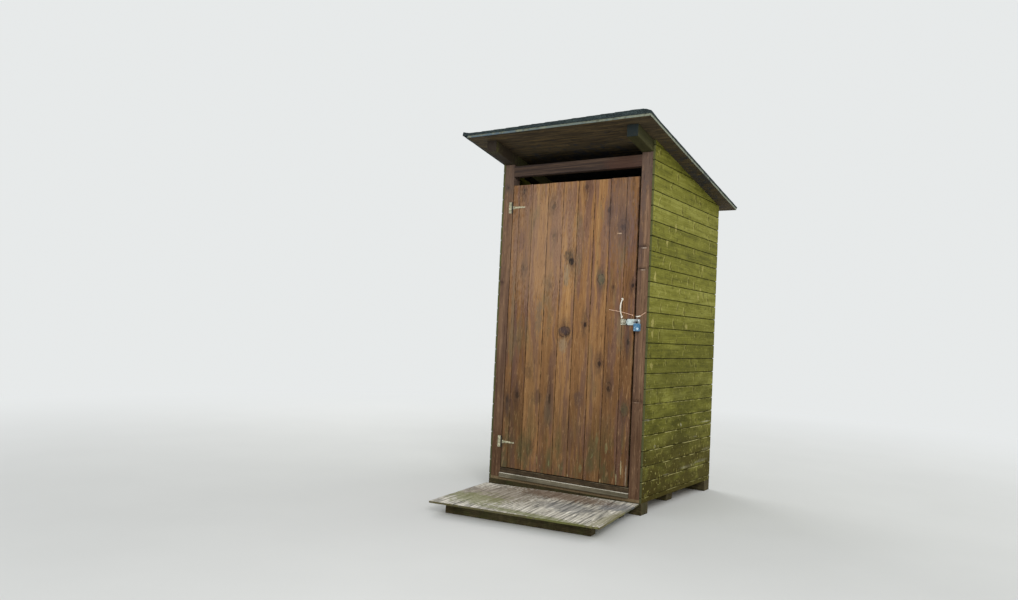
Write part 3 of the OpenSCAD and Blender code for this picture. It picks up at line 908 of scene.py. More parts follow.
class Trees:
    """The geometry node trees, each built when it is first asked for."""

    @staticmethod
    def start(name: str, **inputs: Any) -> tuple[Wiring, dict[str, Flow]]:
        """Starts a tree with named inputs.

        Args:
            name: The tree's name.
            inputs: Each input's value, or its type where it has none, by name with _ for a space.

        Returns:
            The tree's wiring and its inputs.
        """
        tree = bpy.data.node_groups.new(name, "GeometryNodeTree")
        tree.is_modifier = True
        for way in ("INPUT", "OUTPUT"):
            tree.interface.new_socket("Geometry", in_out=way, socket_type="NodeSocketGeometry")
        for label, value in inputs.items():
            kind = value if isinstance(value, type) else type(value)
            sort = "NodeSocket" + kind.__name__.capitalize()
            socket = tree.interface.new_socket(label.replace("_", " "), in_out="INPUT", socket_type=sort)
            if kind is not value:
                socket.default_value = value
        w = Wiring(tree)
        return w, w.inputs()

    @staticmethod
    def end(w: Wiring, mesh: Feed, material: Feed) -> NodeTree:
        """Ends a tree in Realize Instances and Set Material, and gives it.

        Args:
            w: The tree's wiring.
            mesh: The mesh or instances.
            material: The material to set.

        Returns:
            The finished tree.
        """
        dressed = w.geo("SetMaterial", {"Geometry": w.real(mesh), "Material": material})
        w.feed(dressed, w.tree.nodes.new("NodeGroupOutput").inputs[0])
        return w.tree

    @cached_property
    def timber(self) -> NodeTree:
        """Gives the tree that saws a stick at each point.

        Returns:
            The tree.
        """
        inputs = {"Pieces_along": 9, "Pieces_across": 2, "Bow": 0.001, "Seed": 3, "Finish": Material}
        w, source = self.start("sawn_timber", **inputs)
        place, size = w.geo("InputPosition"), w.read("size")
        feeds = {"Size": (1.0, 1.0, 1.0), 1: source["Pieces along"], 2: source["Pieces across"], 3: 2}
        cube = w.store(w.geo("MeshCube", feeds), "unit", place)
        turn = w.rotation(w.read("turn"))
        feeds = {"Points": source["Geometry"], "Instance": cube, "Rotation": turn, "Scale": size}
        laid = w.real(w.geo("InstanceOnPoints", feeds))
        laid = w.store(laid, "local", w.vector("MULTIPLY", w.read("unit"), size))
        own = w.read("board", "FLOAT") * 90.0 + source["Seed"]
        feeds = {"Vector": w.scaled(place, 1.6), "W": own, "Scale": 1.0, "Detail": 1.0}
        wave = w.add("ShaderNodeTexNoise", feeds, out="Color", noise_dimensions="4D")
        lean = w.vector("SUBTRACT", wave, (0.5, 0.5, 0.5))
        bent = w.geo("SetPosition", {"Geometry": laid, "Offset": w.scaled(lean, source["Bow"] * 2.0)})
        return self.end(w, bent, source["Finish"])

    @cached_property
    def copies(self) -> NodeTree:
        """Gives the tree that puts a copy of a small part at each point.

        Returns:
            The tree.
        """
        w, source = self.start("part_copies", Part=Object, Spin=3.1, Seed=5, Finish=Material)
        part = w.geo("ObjectInfo", {"Object": source["Part"]}, out="Geometry")
        feeds = {2: 0.0, 3: source["Spin"], "Seed": source["Seed"]}
        spin = w.rotation(w.join(0.0, 0.0, w.add("FunctionNodeRandomValue", feeds, out=1)))
        feeds = {"Rotation": w.rotation(w.read("turn")), "Rotate By": spin}
        turn = w.add("FunctionNodeRotateRotation", feeds, rotation_space="LOCAL")
        feeds = {"Points": source["Geometry"], "Instance": part, "Rotation": turn, "Scale": w.read("size")}
        return self.end(w, w.geo("InstanceOnPoints", feeds), source["Finish"])

    @cached_property
    def shingles(self) -> NodeTree:
        """Gives the tree that lays courses of shingle tabs on the XY plane, lowest course at +Y.

        Returns:
            The tree.
        """
        w, source = self.start(
            "shingle_courses", Tabs=11, Courses=11, Tab_width=0.1458, Exposure=0.14, Tab_length=0.185,
            Thickness=0.0032, Corner=0.012, Unevenness=0.0012, Seed=7, Finish=Material,
        )
        tabs, courses, wide, show = (source[name] for name in ("Tabs", "Courses", "Tab width", "Exposure"))
        long, thick, seed = (source[name] for name in ("Tab length", "Thickness", "Seed"))
        size_x, size_y = (tabs - 1.0) * wide, (courses - 1.0) * show
        feeds = {"Size X": size_x, "Size Y": size_y, "Vertices X": tabs, "Vertices Y": courses}
        place = w.geo("InputPosition")
        row = w.math("ROUND", (size_y * 0.5 + w.split(place)[1]) / show)
        odd = w.math("FRACT", row * 0.5) * 2.0 - 0.5
        scatter = {0: (-0.002, -0.003, 0.0), 1: (0.002, 0.003, 0.0008), "Seed": seed}
        jitter = w.add("FunctionNodeRandomValue", scatter, data_type="FLOAT_VECTOR")
        shift = w.vector("ADD", w.join(odd * wide * 0.5, 0.0, 0.0), jitter)
        points = w.geo("SetPosition", {"Geometry": w.geo("MeshGrid", feeds), "Offset": shift})
        tint = w.add("FunctionNodeRandomValue", {2: 0.0, 3: 1.0, "Seed": seed}, out=1)
        points = w.store(points, "board", tint, "FLOAT")
        outline = w.geo("CurvePrimitiveQuadrilateral", {0: wide - 0.005, 1: long})
        feeds = {"Curve": outline, "Radius": source["Corner"], "Count": 3}
        outline = w.geo("FilletCurve", feeds, mode="POLY")
        feeds = {"Offset": (0.0, 0.0, 1.0), "Offset Scale": thick, "Individual": False}
        tile = w.geo("ExtrudeMesh", {"Mesh": w.geo("FillCurve", {"Curve": outline}), **feeds})
        back = w.geo("FlipFaces", {"Mesh": w.geo("FillCurve", {"Curve": outline})})
        tile = w.geo("MergeByDistance", {"Geometry": w.joined(tile, back), "Distance": 0.0001})
        turn = w.rotation(w.join(w.math("ARCTANGENT", thick / long), 0.0, 0.0))
        laid = w.real(w.geo("InstanceOnPoints", {"Points": points, "Instance": tile, "Rotation": turn}))
        wave = w.noise(w.scaled(place, 9.0), 1.0)
        lift = w.join(0.0, 0.0, wave * source["Unevenness"])
        return self.end(w, w.geo("SetPosition", {"Geometry": laid, "Offset": lift}), source["Finish"])

    @cached_property
    def laid_rope(self) -> NodeTree:
        """Gives the tree that lays three strands round a path.

        Returns:
            The tree.
        """
        inputs = {"Radius": 0.004, "Twist_length": 0.02, "Step": 0.001, "Sides": 8, "Finish": Material}
        w, source = self.start("laid_rope", **inputs)
        path = w.geo("MeshToCurve", {"Mesh": source["Geometry"]})
        path = w.geo("ResampleCurve", {"Curve": path, "Length": source["Step"]}, mode="LENGTH")
        tangent, normal = w.geo("InputTangent"), w.geo("InputNormal")
        turns = w.geo("SplineParameter", out="Length") / source["Twist length"]
        radius = source["Radius"]
        ring = w.geo("CurvePrimitiveCircle", {"Resolution": source["Sides"], "Radius": radius * 0.5})
        strands = []
        for number in range(3):
            angle = turns * (2 * math.pi) + 2 * math.pi * number / 3
            feeds = {"Vector": normal, "Axis": tangent, "Angle": angle}
            out = w.add("ShaderNodeVectorRotate", feeds, rotation_type="AXIS_ANGLE")
            run = w.geo("SetPosition", {"Geometry": path, "Offset": w.scaled(out, radius * 0.48)})
            strands.append(w.geo("CurveToMesh", {"Curve": run, "Profile Curve": ring, "Fill Caps": True}))
        return self.end(w, w.joined(*strands), source["Finish"])


TREES = Trees()


def new_object(name: str, content: bpy.types.ID) -> Object:
    """Links a new object that shows a mesh, lamp or camera.

    Args:
        name: The object's name.
        content: What it shows.

    Returns:
        The object.
    """
    thing = bpy.data.objects.new(name, content)
    bpy.context.scene.collection.objects.link(thing)
    return thing


def run_tree(name: str, points: Mesh, tree: NodeTree, **values: Any) -> Object:
    """Runs a node tree on a mesh and keeps the result as a plain mesh.

    Args:
        name: The new object's name.
        points: The mesh that goes in.
        tree: The node tree.
        values: Its inputs, by name with _ for a space.

    Returns:
        The object, with no modifier left.
    """
    thing = new_object(name, points)
    modifier = thing.modifiers.new("build", "NODES")
    modifier.node_group = tree
    for socket in tree.interface.items_tree:
        key = socket.name.replace(" ", "_")
        if key in values:
            modifier[socket.identifier] = values[key]
    graph = bpy.context.evaluated_depsgraph_get()
    shown = thing.evaluated_get(graph)
    mesh = bpy.data.meshes.new_from_object(shown, preserve_all_data_layers=True, depsgraph=graph)
    thing.modifiers.remove(modifier)
    thing.data = mesh
    mesh.name = name
    return thing


def point_cloud(name: str, rows: Sequence[tuple[Point, Point, Point, float]]) -> Mesh:
    """Makes a mesh of loose points.

    Args:
        name: The mesh's name.
        rows: Each point's place, Euler angles, size and board number: 0 to 1, or more in the shade.

    Returns:
        The mesh.
    """
    places, turns, sizes, shades = zip(*rows)
    mesh = bpy.data.meshes.new(name + "_points")
    mesh.from_pydata(places, [], [])
    for label, vectors in (("turn", turns), ("size", sizes)):
        layer = mesh.attributes.new(label, "FLOAT_VECTOR", "POINT")
        layer.data.foreach_set("vector", [value for vector in vectors for value in vector])
    layer = mesh.attributes.new("board", "FLOAT", "POINT")
    layer.data.foreach_set("value", shades)
    return mesh


def cut_off(body: BMesh, geom: list, place: Point, away: Point) -> tuple[list, list]:
    """Cuts away what lies beyond a plane.

    Args:
        body: The mesh.
        geom: What is cut.
        place: A point on the plane.
        away: The direction that is cut away.

    Returns:
        What is left, with the cut, and the cut's open edges.
    """
    plane = {"dist": 1e-6, "plane_co": place, "plane_no": away}
    done = bmesh.ops.bisect_plane(body, geom=geom, clear_outer=True, **plane)
    rim = [e for e in done["geom_cut"] if isinstance(e, BMEdge) and e.is_boundary]
    return [*done["geom"], *done["geom_cut"]], rim


def ease(body: BMesh, edges: Iterable[BMEdge], size: float, sharp: float = 0.6) -> None:
    """Rounds sharp edges over.

    Args:
        body: The mesh.
        edges: The edges, of which the sharp ones are rounded.
        size: How far they are rounded, in metres.
        sharp: The angle above which an edge is sharp.
    """
    geom = [e for e in edges if len(e.link_faces) == 2 and e.calc_face_angle(0.0) > sharp]
    style = {"segments": 2, "profile": 0.6, "affect": "EDGES", "clamp_overlap": True}
    bmesh.ops.bevel(body, geom=geom, offset=size, **style)


def dress(piece: Object, body: BMesh, finish: Finish) -> Object:
    """Moves a finished mesh into a piece and gives every face the same material.

    Args:
        piece: The piece.
        body: The mesh, which is freed.
        finish: The finish.

    Returns:
        The piece.
    """
    bmesh.ops.recalc_face_normals(body, faces=body.faces)
    for face in body.faces:
        face.material_index = 0
    body.to_mesh(piece.data)
    body.free()
    piece.data.materials.clear()
    piece.data.materials.append(finish.material)
    return piece


def saw(
    name: str, sticks: Sequence[Stick], finish: Finish, pieces: int, bow: float, round_over: float,
    seed: int = 3,
) -> Object:
    """Saws sticks, cuts their ends and rounds their edges.

    Args:
        name: The piece's name.
        sticks: The lengths of timber.
        finish: The finish.
        pieces: Faces along each.
        bow: How far the timber wanders from straight, in metres.
        round_over: How far the edges are rounded, in metres.
        seed: What fixes the bow and the boards' shades.

    Returns:
        The piece.
    """
    pick = random.Random(seed)
    rows = [(s.middle, s.turn(), s.size, pick.random() if s.shade is None else s.shade) for s in sticks]
    values = {"Pieces_along": pieces + 1, "Bow": bow, "Seed": seed, "Finish": finish.material}
    thing = run_tree(name, point_cloud(name, rows), TREES.timber, **values)
    body = bmesh.new()
    body.from_mesh(thing.data)
    count = len(body.verts) // len(sticks)
    corners = list(body.verts)
    for number, stick in enumerate(sticks):
        verts = corners[number * count:(number + 1) * count]
        for place, away in stick.cuts:
            edges = {e: None for v in verts for e in v.link_edges}
            faces = {f: None for v in verts for f in v.link_faces}
            left, rim = cut_off(body, [*verts, *edges, *faces], place, away)
            if rim:
                bmesh.ops.edgeloop_fill(body, edges=rim)
            kept = [v for v in [*verts, *left] if isinstance(v, BMVert) and v.is_valid]
            verts = list(dict.fromkeys(kept))
    ease(body, body.edges, round_over)
    return dress(thing, body, finish)


def slab(
    name: str, place: Placer, spans: Sequence[Pair], cells: tuple[int, int], finish: Finish,
    shape: Optional[Shaper] = None, bevel: float = 0.001,
) -> Object:
    """Makes a closed sheet on a grid.

    Args:
        name: The piece's name.
        place: Takes distances along, across and through to a point.
        spans: The sheet's three ranges.
        cells: Faces along and across.
        finish: The finish.
        shape: Gives a point's offset along, across and through from its unit place.
        bevel: How far the edges are rounded.

    Returns:
        The piece, with its local, unit and board attributes.
    """
    body = bmesh.new()
    local = body.verts.layers.float_vector.new("local")
    unit = body.verts.layers.float_vector.new("unit")
    board = body.verts.layers.float.new("board")
    long, wide = cells
    grid: dict[tuple[int, int, int], BMVert] = {}
    for i, j, k in product(range(long + 1), range(wide + 1), range(2)):
        parts = (i / long - 0.5, j / wide - 0.5, k - 0.5)
        here = [low + (part + 0.5) * (high - low) for part, (low, high) in zip(parts, spans)]
        moved = [at + by for at, by in zip(here, shape(*parts))] if shape else here
        vert = body.verts.new(place(*moved))
        vert[local], vert[unit], vert[board] = Vector(here), Vector(parts), 0.5
        grid[i, j, k] = vert
    quads = [((i, j, k), (1, 0, 0), (0, 1, 0)) for i, j, k in product(range(long), range(wide), range(2))]
    quads += [((i, j, 0), (1, 0, 0), (0, 0, 1)) for i, j in product(range(long), (0, wide))]
    quads += [((i, j, 0), (0, 1, 0), (0, 0, 1)) for j, i in product(range(wide), (0, long))]
    for (i, j, k), (a, b, c), (d, e, f) in quads:
        steps = ((0, 0, 0), (a, b, c), (a + d, b + e, c + f), (d, e, f))
        body.faces.new([grid[i + x, j + y, k + z] for x, y, z in steps])
    bmesh.ops.recalc_face_normals(body, faces=body.faces)
    ease(body, body.edges, bevel)
    return dress(new_object(name, bpy.data.meshes.new(name)), body, finish)


# Metal shapes


def circle(sides: int) -> list[Pair]:
    """Gives the points of a circle of radius 1."""
    turns = [2 * math.pi * i / sides for i in range(sides)]
    return [(math.cos(turn), math.sin(turn)) for turn in turns]


def rounded(half_x: float, half_z: float, corner: float, steps: int = 4) -> list[Pair]:
    """Gives the outline of a rectangle with rounded corners.

    Args:
        half_x: Half its width.
        half_z: Half its height.
        corner: The corners' radius.
        steps: Points a corner, less one.

    Returns:
        The outline's points, going round once.
    """
    points = []
    for turn, (sx, sz) in enumerate(((1, 1), (-1, 1), (-1, -1), (1, -1))):
        for step in range(steps + 1):
            angle = math.pi / 2 * (turn + step / steps)
            x = sx * (half_x - corner) + corner * math.cos(angle)
            points.append((x, sz * (half_z - corner) + corner * math.sin(angle)))
    return points


def hoop(centre: Point, half: float, foot: float, out: Point, steps: int) -> list[Vector]:
    """Gives a U-shaped path with its legs apart along X.

    Args:
        centre: The middle of its arc.
        half: The arc's radius.
        foot: How long the legs are.
        out: The way the arc points.
        steps: The arc's parts.

    Returns:
        The points, from the left foot to the right one.
    """
    middle, across, ahead = Vector(centre), Vector((half, 0.0, 0.0)), Vector(out)
    points = [middle - across - foot * ahead]
    for step in range(steps + 1):
        angle = math.pi * step / steps
        points.append(middle - math.cos(angle) * across + half * math.sin(angle) * ahead)
    return [*points, middle + across - foot * ahead]


class Forge:
    """Gathers small solid shapes in one mesh."""

    def __init__(self) -> None:
        """Starts an empty mesh."""
        self.body = bmesh.new()

    def ring(self, points: Iterable[Sequence[float]]) -> list[BMVert]:
        """Adds a ring of vertices."""
        return [self.body.verts.new(point) for point in points]

    def cover(self, ring: Sequence[BMVert]) -> BMFace:
        """Closes a ring with one face."""
        return self.body.faces.new(ring)

    def skin(self, low: Sequence[BMVert], high: Sequence[BMVert]) -> list[BMFace]:
        """Joins two rings, either of which may be a single point.

        Args:
            low: The first ring.
            high: The next ring.

        Returns:
            The faces between them.
        """
        sides = max(len(low), len(high))
        faces = []
        for i in range(sides):
            j = (i + 1) % sides
            corners = (low[i % len(low)], low[j % len(low)], high[j % len(high)], high[i % len(high)])
            if len(set(corners)) > 2:
                faces.append(self.body.faces.new(list(dict.fromkeys(corners))))
        return faces

    def plate(
        self, outline: Sequence[Pair], near: float, far: float, hole: Sequence[Pair] = (),
        centre: Pair = (0.0, 0.0), bevel: float = 0.0004,
    ) -> None:
        """Adds a flat plate that stands in the XZ plane.

        Args:
            outline: Its outline round the centre.
            near: The Y of its front.
            far: The Y of its back.
            hole: A hole's outline with as many points, round the centre too.
            centre: Where the outline's origin lies.
            bevel: How far the edges are rounded.
        """
        left, low = centre
        front, back = [], []
        for y, rings in ((near, front), (far, back)):
            for loop in (outline, hole) if hole else (outline,):
                rings.append(self.ring((left + x, y, low + z) for x, z in loop))
        rings = [back[0], *front, *back[1:]]
        faces = [face for first, second in zip(rings, rings[1:]) for face in self.skin(first, second)]
        if hole:
            faces += self.skin(rings[-1], rings[0])
        else:
            faces += [self.cover(front[0]), self.cover(back[0][::-1])]
        if bevel:
            ease(self.body, {edge for face in faces for edge in face.edges}, bevel, 0.9)

    def lathe(self, profile: Sequence[Pair], place: Matrix, sides: int = 24) -> None:
        """Adds a turned shape.

        Args:
            profile: Radius and height pairs from the lower pole to the upper one.
            place: Takes its own axes, Z along the axis, to where it goes.
            sides: Faces round.
        """
        rings = []
        for radius, height in profile:
            turns = circle(sides) if radius else [(0, 0)]
            rings.append(self.ring(place @ Vector((radius * x, radius * y, height)) for x, y in turns))
        for low, high in zip(rings, rings[1:]):
            self.skin(low, high)

    def pin(self, centre: Pair, low: float, high: float, radius: float, eased: float = 0.0) -> None:
        """Adds an upright round pin or a length of barrel.

        Args:
            centre: The X and Y of its axis.
            low: Where it starts on the axis.
            high: Where it ends.
            radius: Its radius.
            eased: How far its ends are eased, 0 for not at all.
        """
        profile = [(0, low), (radius - eased, low), (radius, low + eased)]
        profile += [(radius, high - eased), (radius - eased, high), (0, high)]
        self.lathe(list(dict.fromkeys(profile)), Matrix.Translation((*centre, 0.0)))

    def tube(self, path: Sequence[Vector], radius: float, sides: int = 16, closed: bool = False) -> None:
        """Adds a round bar along a path, with closed ends.

        Args:
            path: The points it follows.
            radius: Its radius.
            sides: Faces round.
            closed: Whether the path is a ring.
        """
        count = len(path)
        rings = []
        normal: Optional[Vector] = None
        for i, here in enumerate(path):
            before = path[(i - 1) % count] if closed or i else here
            after = path[(i + 1) % count] if closed or i < count - 1 else here
            tangent = (after - before).normalized()
            if normal is None:
                normal = tangent.orthogonal()
            normal = (normal - tangent * normal.dot(tangent)).normalized()
            side = tangent.cross(normal)
            rings.append(self.ring(here + radius * (x * normal + y * side) for x, y in circle(sides)))
        for low, high in zip(rings, rings[1:]):
            self.skin(low, high)
        if closed:
            self.skin(rings[-1], rings[0])
        else:
            self.cover(rings[0][::-1])
            self.cover(rings[-1])

    def finish(self, name: str, finish: Finish, smooth: float = 0.6) -> Object:
        """Makes a piece of what was gathered.

        Args:
            name: The piece's name.
            finish: The finish.
            smooth: The angle below which edges are shaded smooth.

        Returns:
            The piece.
        """
        bmesh.ops.remove_doubles(self.body, verts=self.body.verts, dist=1e-7)
        for face in self.body.faces:
            face.smooth = True
        piece = dress(new_object(name, bpy.data.meshes.new(name)), self.body, finish)
        piece.data.set_sharp_from_angle(angle=smooth)
        return piece


def facing(place: Point, out: Point, top: str = "Z") -> Matrix:
    """Gives the matrix that takes a thing's top to a direction at a place."""
    return Matrix.Translation(place) @ Vector(out).to_track_quat(top, "Y").to_matrix().to_4x4()


class Fixing(Enum):
    """The kinds of small fixings."""

    NAIL = "nail"
    SCREW = "screw"


class Fixings:
    """Makes nail and screw heads once and copies them where they are driven."""

    def __init__(self) -> None:
        """Starts with no masters."""
        self.masters: dict[Fixing, Object] = {}

    def master(self, kind: Fixing) -> Object:
        """Gives the head of a kind, of 1 mm radius, standing on its origin.

        Args:
            kind: Nail or screw.

        Returns:
            A hidden object.
        """
        if kind not in self.masters:
            forge = Forge()
            if kind is Fixing.NAIL:
                self.nail(forge)
            else:
                self.screw(forge)
            thing = forge.finish(kind.value + "_master", NAIL_STEEL)
            thing.hide_render = True
            self.masters[kind] = thing
        return self.masters[kind]

    @staticmethod
    def nail(forge: Forge) -> None:
        """Adds a low round head."""
        shank = [(0, -0.0004), (0.0009, -0.0004), (0.001, 0.0)]
        forge.lathe([*shank, (0.00094, 0.00022), (0.0005, 0.00034), (0, 0.00036)], Matrix.Identity(4), 10)

    @staticmethod
    def screw(forge: Forge) -> None:
        """Adds a countersunk head with a cross sunk in it.

        Args:
            forge: Where the head is added.
        """
        sides = 24
        lip, well, depth = 0.00024, 0.8, -0.0003
        radii = (0.00056, 0.00056, 0.00024, 0.0002, 0.00024, 0.00056)
        swing = (0.0, -0.45, 0.0, 0.0, 0.0, 0.45)
        cross = []
        for i in range(sides):
            angle = 2 * math.pi * (i + swing[i % 6]) / sides
            cross.append((radii[i % 6] * math.cos(angle), radii[i % 6] * math.sin(angle)))
        rims = ((0.0009, -0.0006), (0.001, 0.0), (0.00096, 0.0002))
        rings = []
        for radius, height in rims:
            rings.append(forge.ring((radius * x, radius * y, height) for x, y in circle(sides)))
        rings.append(forge.ring((x, y, lip) for x, y in cross))
        rings.append(forge.ring((x * well, y * well, depth) for x, y in cross))
        for low, high in zip(rings, rings[1:]):
            forge.skin(low, high)
        forge.cover(rings[-1])
        forge.cover(rings[0][::-1])

    def drive(self, name: str, kind: Fixing, spots: Spots, radius: float, finish: Finish) -> Object:
        """Drives fixings at spots.

        Args:
            name: The piece's name.
            kind: Nail or screw.
            spots: Each head's place and the way it faces.
            radius: The heads' radius, in metres.
            finish: The finish.

        Returns:
            The piece.
        """
        size = (radius / 0.001,) * 3
        rows = [(place, tuple(facing(place, out).to_euler()), size, 0.5) for place, out in spots]
        values = {"Part": self.master(kind), "Spin": 3.1, "Seed": 5, "Finish": finish.material}
        return run_tree(name, point_cloud(name, rows), TREES.copies, **values)


FIXINGS = Fixings()


def settle(piece: Object, body: str, slot: str, *nodes: str) -> None:
    """Puts a piece on its body, hides the nodes that it stands for, and reports it.

    Args:
        piece: The piece.
        body: The body that it rides on.
        slot: The material slot; not used.
        *nodes: The nodes that it stands for.
    """
    if nodes:
        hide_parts(*nodes)
    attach(piece, body)
    log.info("%s: %d faces, rides on %s", piece.name, len(piece.data.polygons), body)


# Wood, sheet, metal and cord of this outhouse

CHALK = (196, 192, 156)
LICHEN = (152, 150, 104)
SCRATCH = (192, 180, 110)
# Painted shade on the padlock's left and bottom edges.
LOCK_SHADE_BLUE = (24, 46, 70)
OLIVE = WoodFinish(
    "olive_boards", (58, 59, 12), (120, 118, 44), (160, 158, 82), ring=0.07, streak=0.75, fibre=0.4,
    tint=0.2, mottle=0.55, spikes=0.42, knot_colour=(66, 60, 16), spike_pale=(178, 170, 98), grime=0.6,
    saw=0.5, depth=0.0009, rough=0.82, gloss=0.08, end=(82, 84, 58), end_amount=0.8,
    marks=on_right(
        (-0.499, 1.39, 0.016, 0.034, SCRATCH, 0.6), (-0.508, 1.116, 0.025, 0.034, SCRATCH, 0.6),
        (0.026, 1.113, 0.02, 0.021, SCRATCH, 0.6), (-0.338, 1.616, 0.015, 0.03, SCRATCH, 0.5),
        (-0.208, 1.72, 0.015, 0.034, SCRATCH, 0.5), (0.219, 1.315, 0.018, 0.023, SCRATCH, 0.5),
        (0.288, 1.51, 0.015, 0.028, SCRATCH, 0.45), (0.26, 1.365, 0.018, 0.016, SCRATCH, 0.5),
        (-0.505, 1.05, 0.018, 0.034, SCRATCH, 0.5), (-0.5, 0.866, 0.025, 0.021, SCRATCH, 0.5),
        (0.13, 0.207, 0.13, 0.013, CHALK, 0.8), (0.40, 0.219, 0.15, 0.011, CHALK, 0.8),
        (-0.2, 0.196, 0.09, 0.006, CHALK, 0.7), (-0.53, 0.548, 0.06, 0.007, CHALK, 0.8),
        (0.46, 0.479, 0.1, 0.006, CHALK, 0.8), (0.26, 0.391, 0.05, 0.006, CHALK, 0.7),
        (0.46, 0.29, 0.1, 0.012, CHALK, 0.6), (-0.4, 0.386, 0.018, 0.012, CHALK, 0.8),
        (0.0, 0.487, 0.018, 0.014, CHALK, 0.8),
    ),
    wear=(
        # The first two layers darken the lower wall: weathering, and partly painted shade at the wall's
        # foot.
        Wear((46, 43, 0), 0.88, 0.12, 1.6, (2.6, 2.6, 7.0), (0.24, 0.62)),
        Wear((62, 52, 12), 0.85, 0.2, 0.56, (4.0, 4.0, 9.0), (0.24, 0.52)),
        Wear((176, 168, 100), 0.75, 0.3, 1.0, (44.0, 44.0, 36.0), (0.62, 0.69)),
        # Pale broken streaks along each board's upper edge: partly rubbed paint and partly a painted
        # highlight, where the top bevel faces the light.
        Wear((188, 180, 116), 0.75, 0.36, 1.1, (9.0, 9.0, 60.0), (0.44, 0.56), 0.45, Side.UPPER),
        Wear((168, 162, 84), 0.5, 3.0, 4.0, (40.0, 40.0, 34.0), (0.6, 0.7)),
        Wear((64, 62, 14), 0.55, 3.0, 4.0, (24.0, 24.0, 30.0), (0.56, 0.7)),
    ),
)
RED_BROWN = WoodFinish(
    "red_brown_posts", (64, 46, 37), (124, 95, 73), (162, 132, 104), ring=0.07, ring_gap=0.006, sway=0.01,
    streak=1.35, streak_scale=56.0, fibre=0.5, tint=0.08, saw=0.2, cast=(92, 70, 60), cast_amount=0.5,
    knots=(
        Knot(-0.500, 1.977, 0.016, 0.5), Knot(0.484, 1.566, 0.034, 0.16), Knot(0.494, 1.434, 0.032, 0.14),
        Knot(0.484, 0.656, 0.03, 0.18), Knot(-0.51, 1.35, 0.012, 0.6),
    ),
    marks=on_front(
        (0.49, 1.557, 0.024, 0.004, (196, 178, 160), 0.7),
        (0.49, 1.427, 0.024, 0.004, (190, 172, 154), 0.6),
        (0.484, 0.647, 0.028, 0.004, (176, 150, 128), 0.6), (-0.51, 1.36, 0.02, 0.2, (92, 70, 62), 0.5),
        (0.47, 1.62, 0.02, 0.1, (86, 70, 66), 0.5), (0.47, 1.5, 0.02, 0.06, (86, 70, 66), 0.5),
        # The two patches on the next line darken and cool the post tops as painted shade under the eave.
        (0.49, 2.07, 0.09, 0.2, (92, 80, 74), 0.55), (-0.49, 2.07, 0.09, 0.2, (88, 78, 72), 0.55),
        (0.478, 1.86, 0.02, 0.16, (98, 84, 80), 0.5), (0.5, 1.25, 0.02, 0.2, (104, 80, 60), 0.45),
    ),
    wear=(
        Wear((70, 46, 26), 0.76, 0.2, 1.5, (5.0, 5.0, 2.0), (0.17, 0.67)),
        Wear((178, 142, 108), 0.34, 3.0, 4.0, (130.0, 130.0, 18.0), (0.56, 0.7)),
        Wear((58, 40, 32), 0.5, 3.0, 4.0, (110.0, 110.0, 14.0), (0.54, 0.7)),
    ),
)
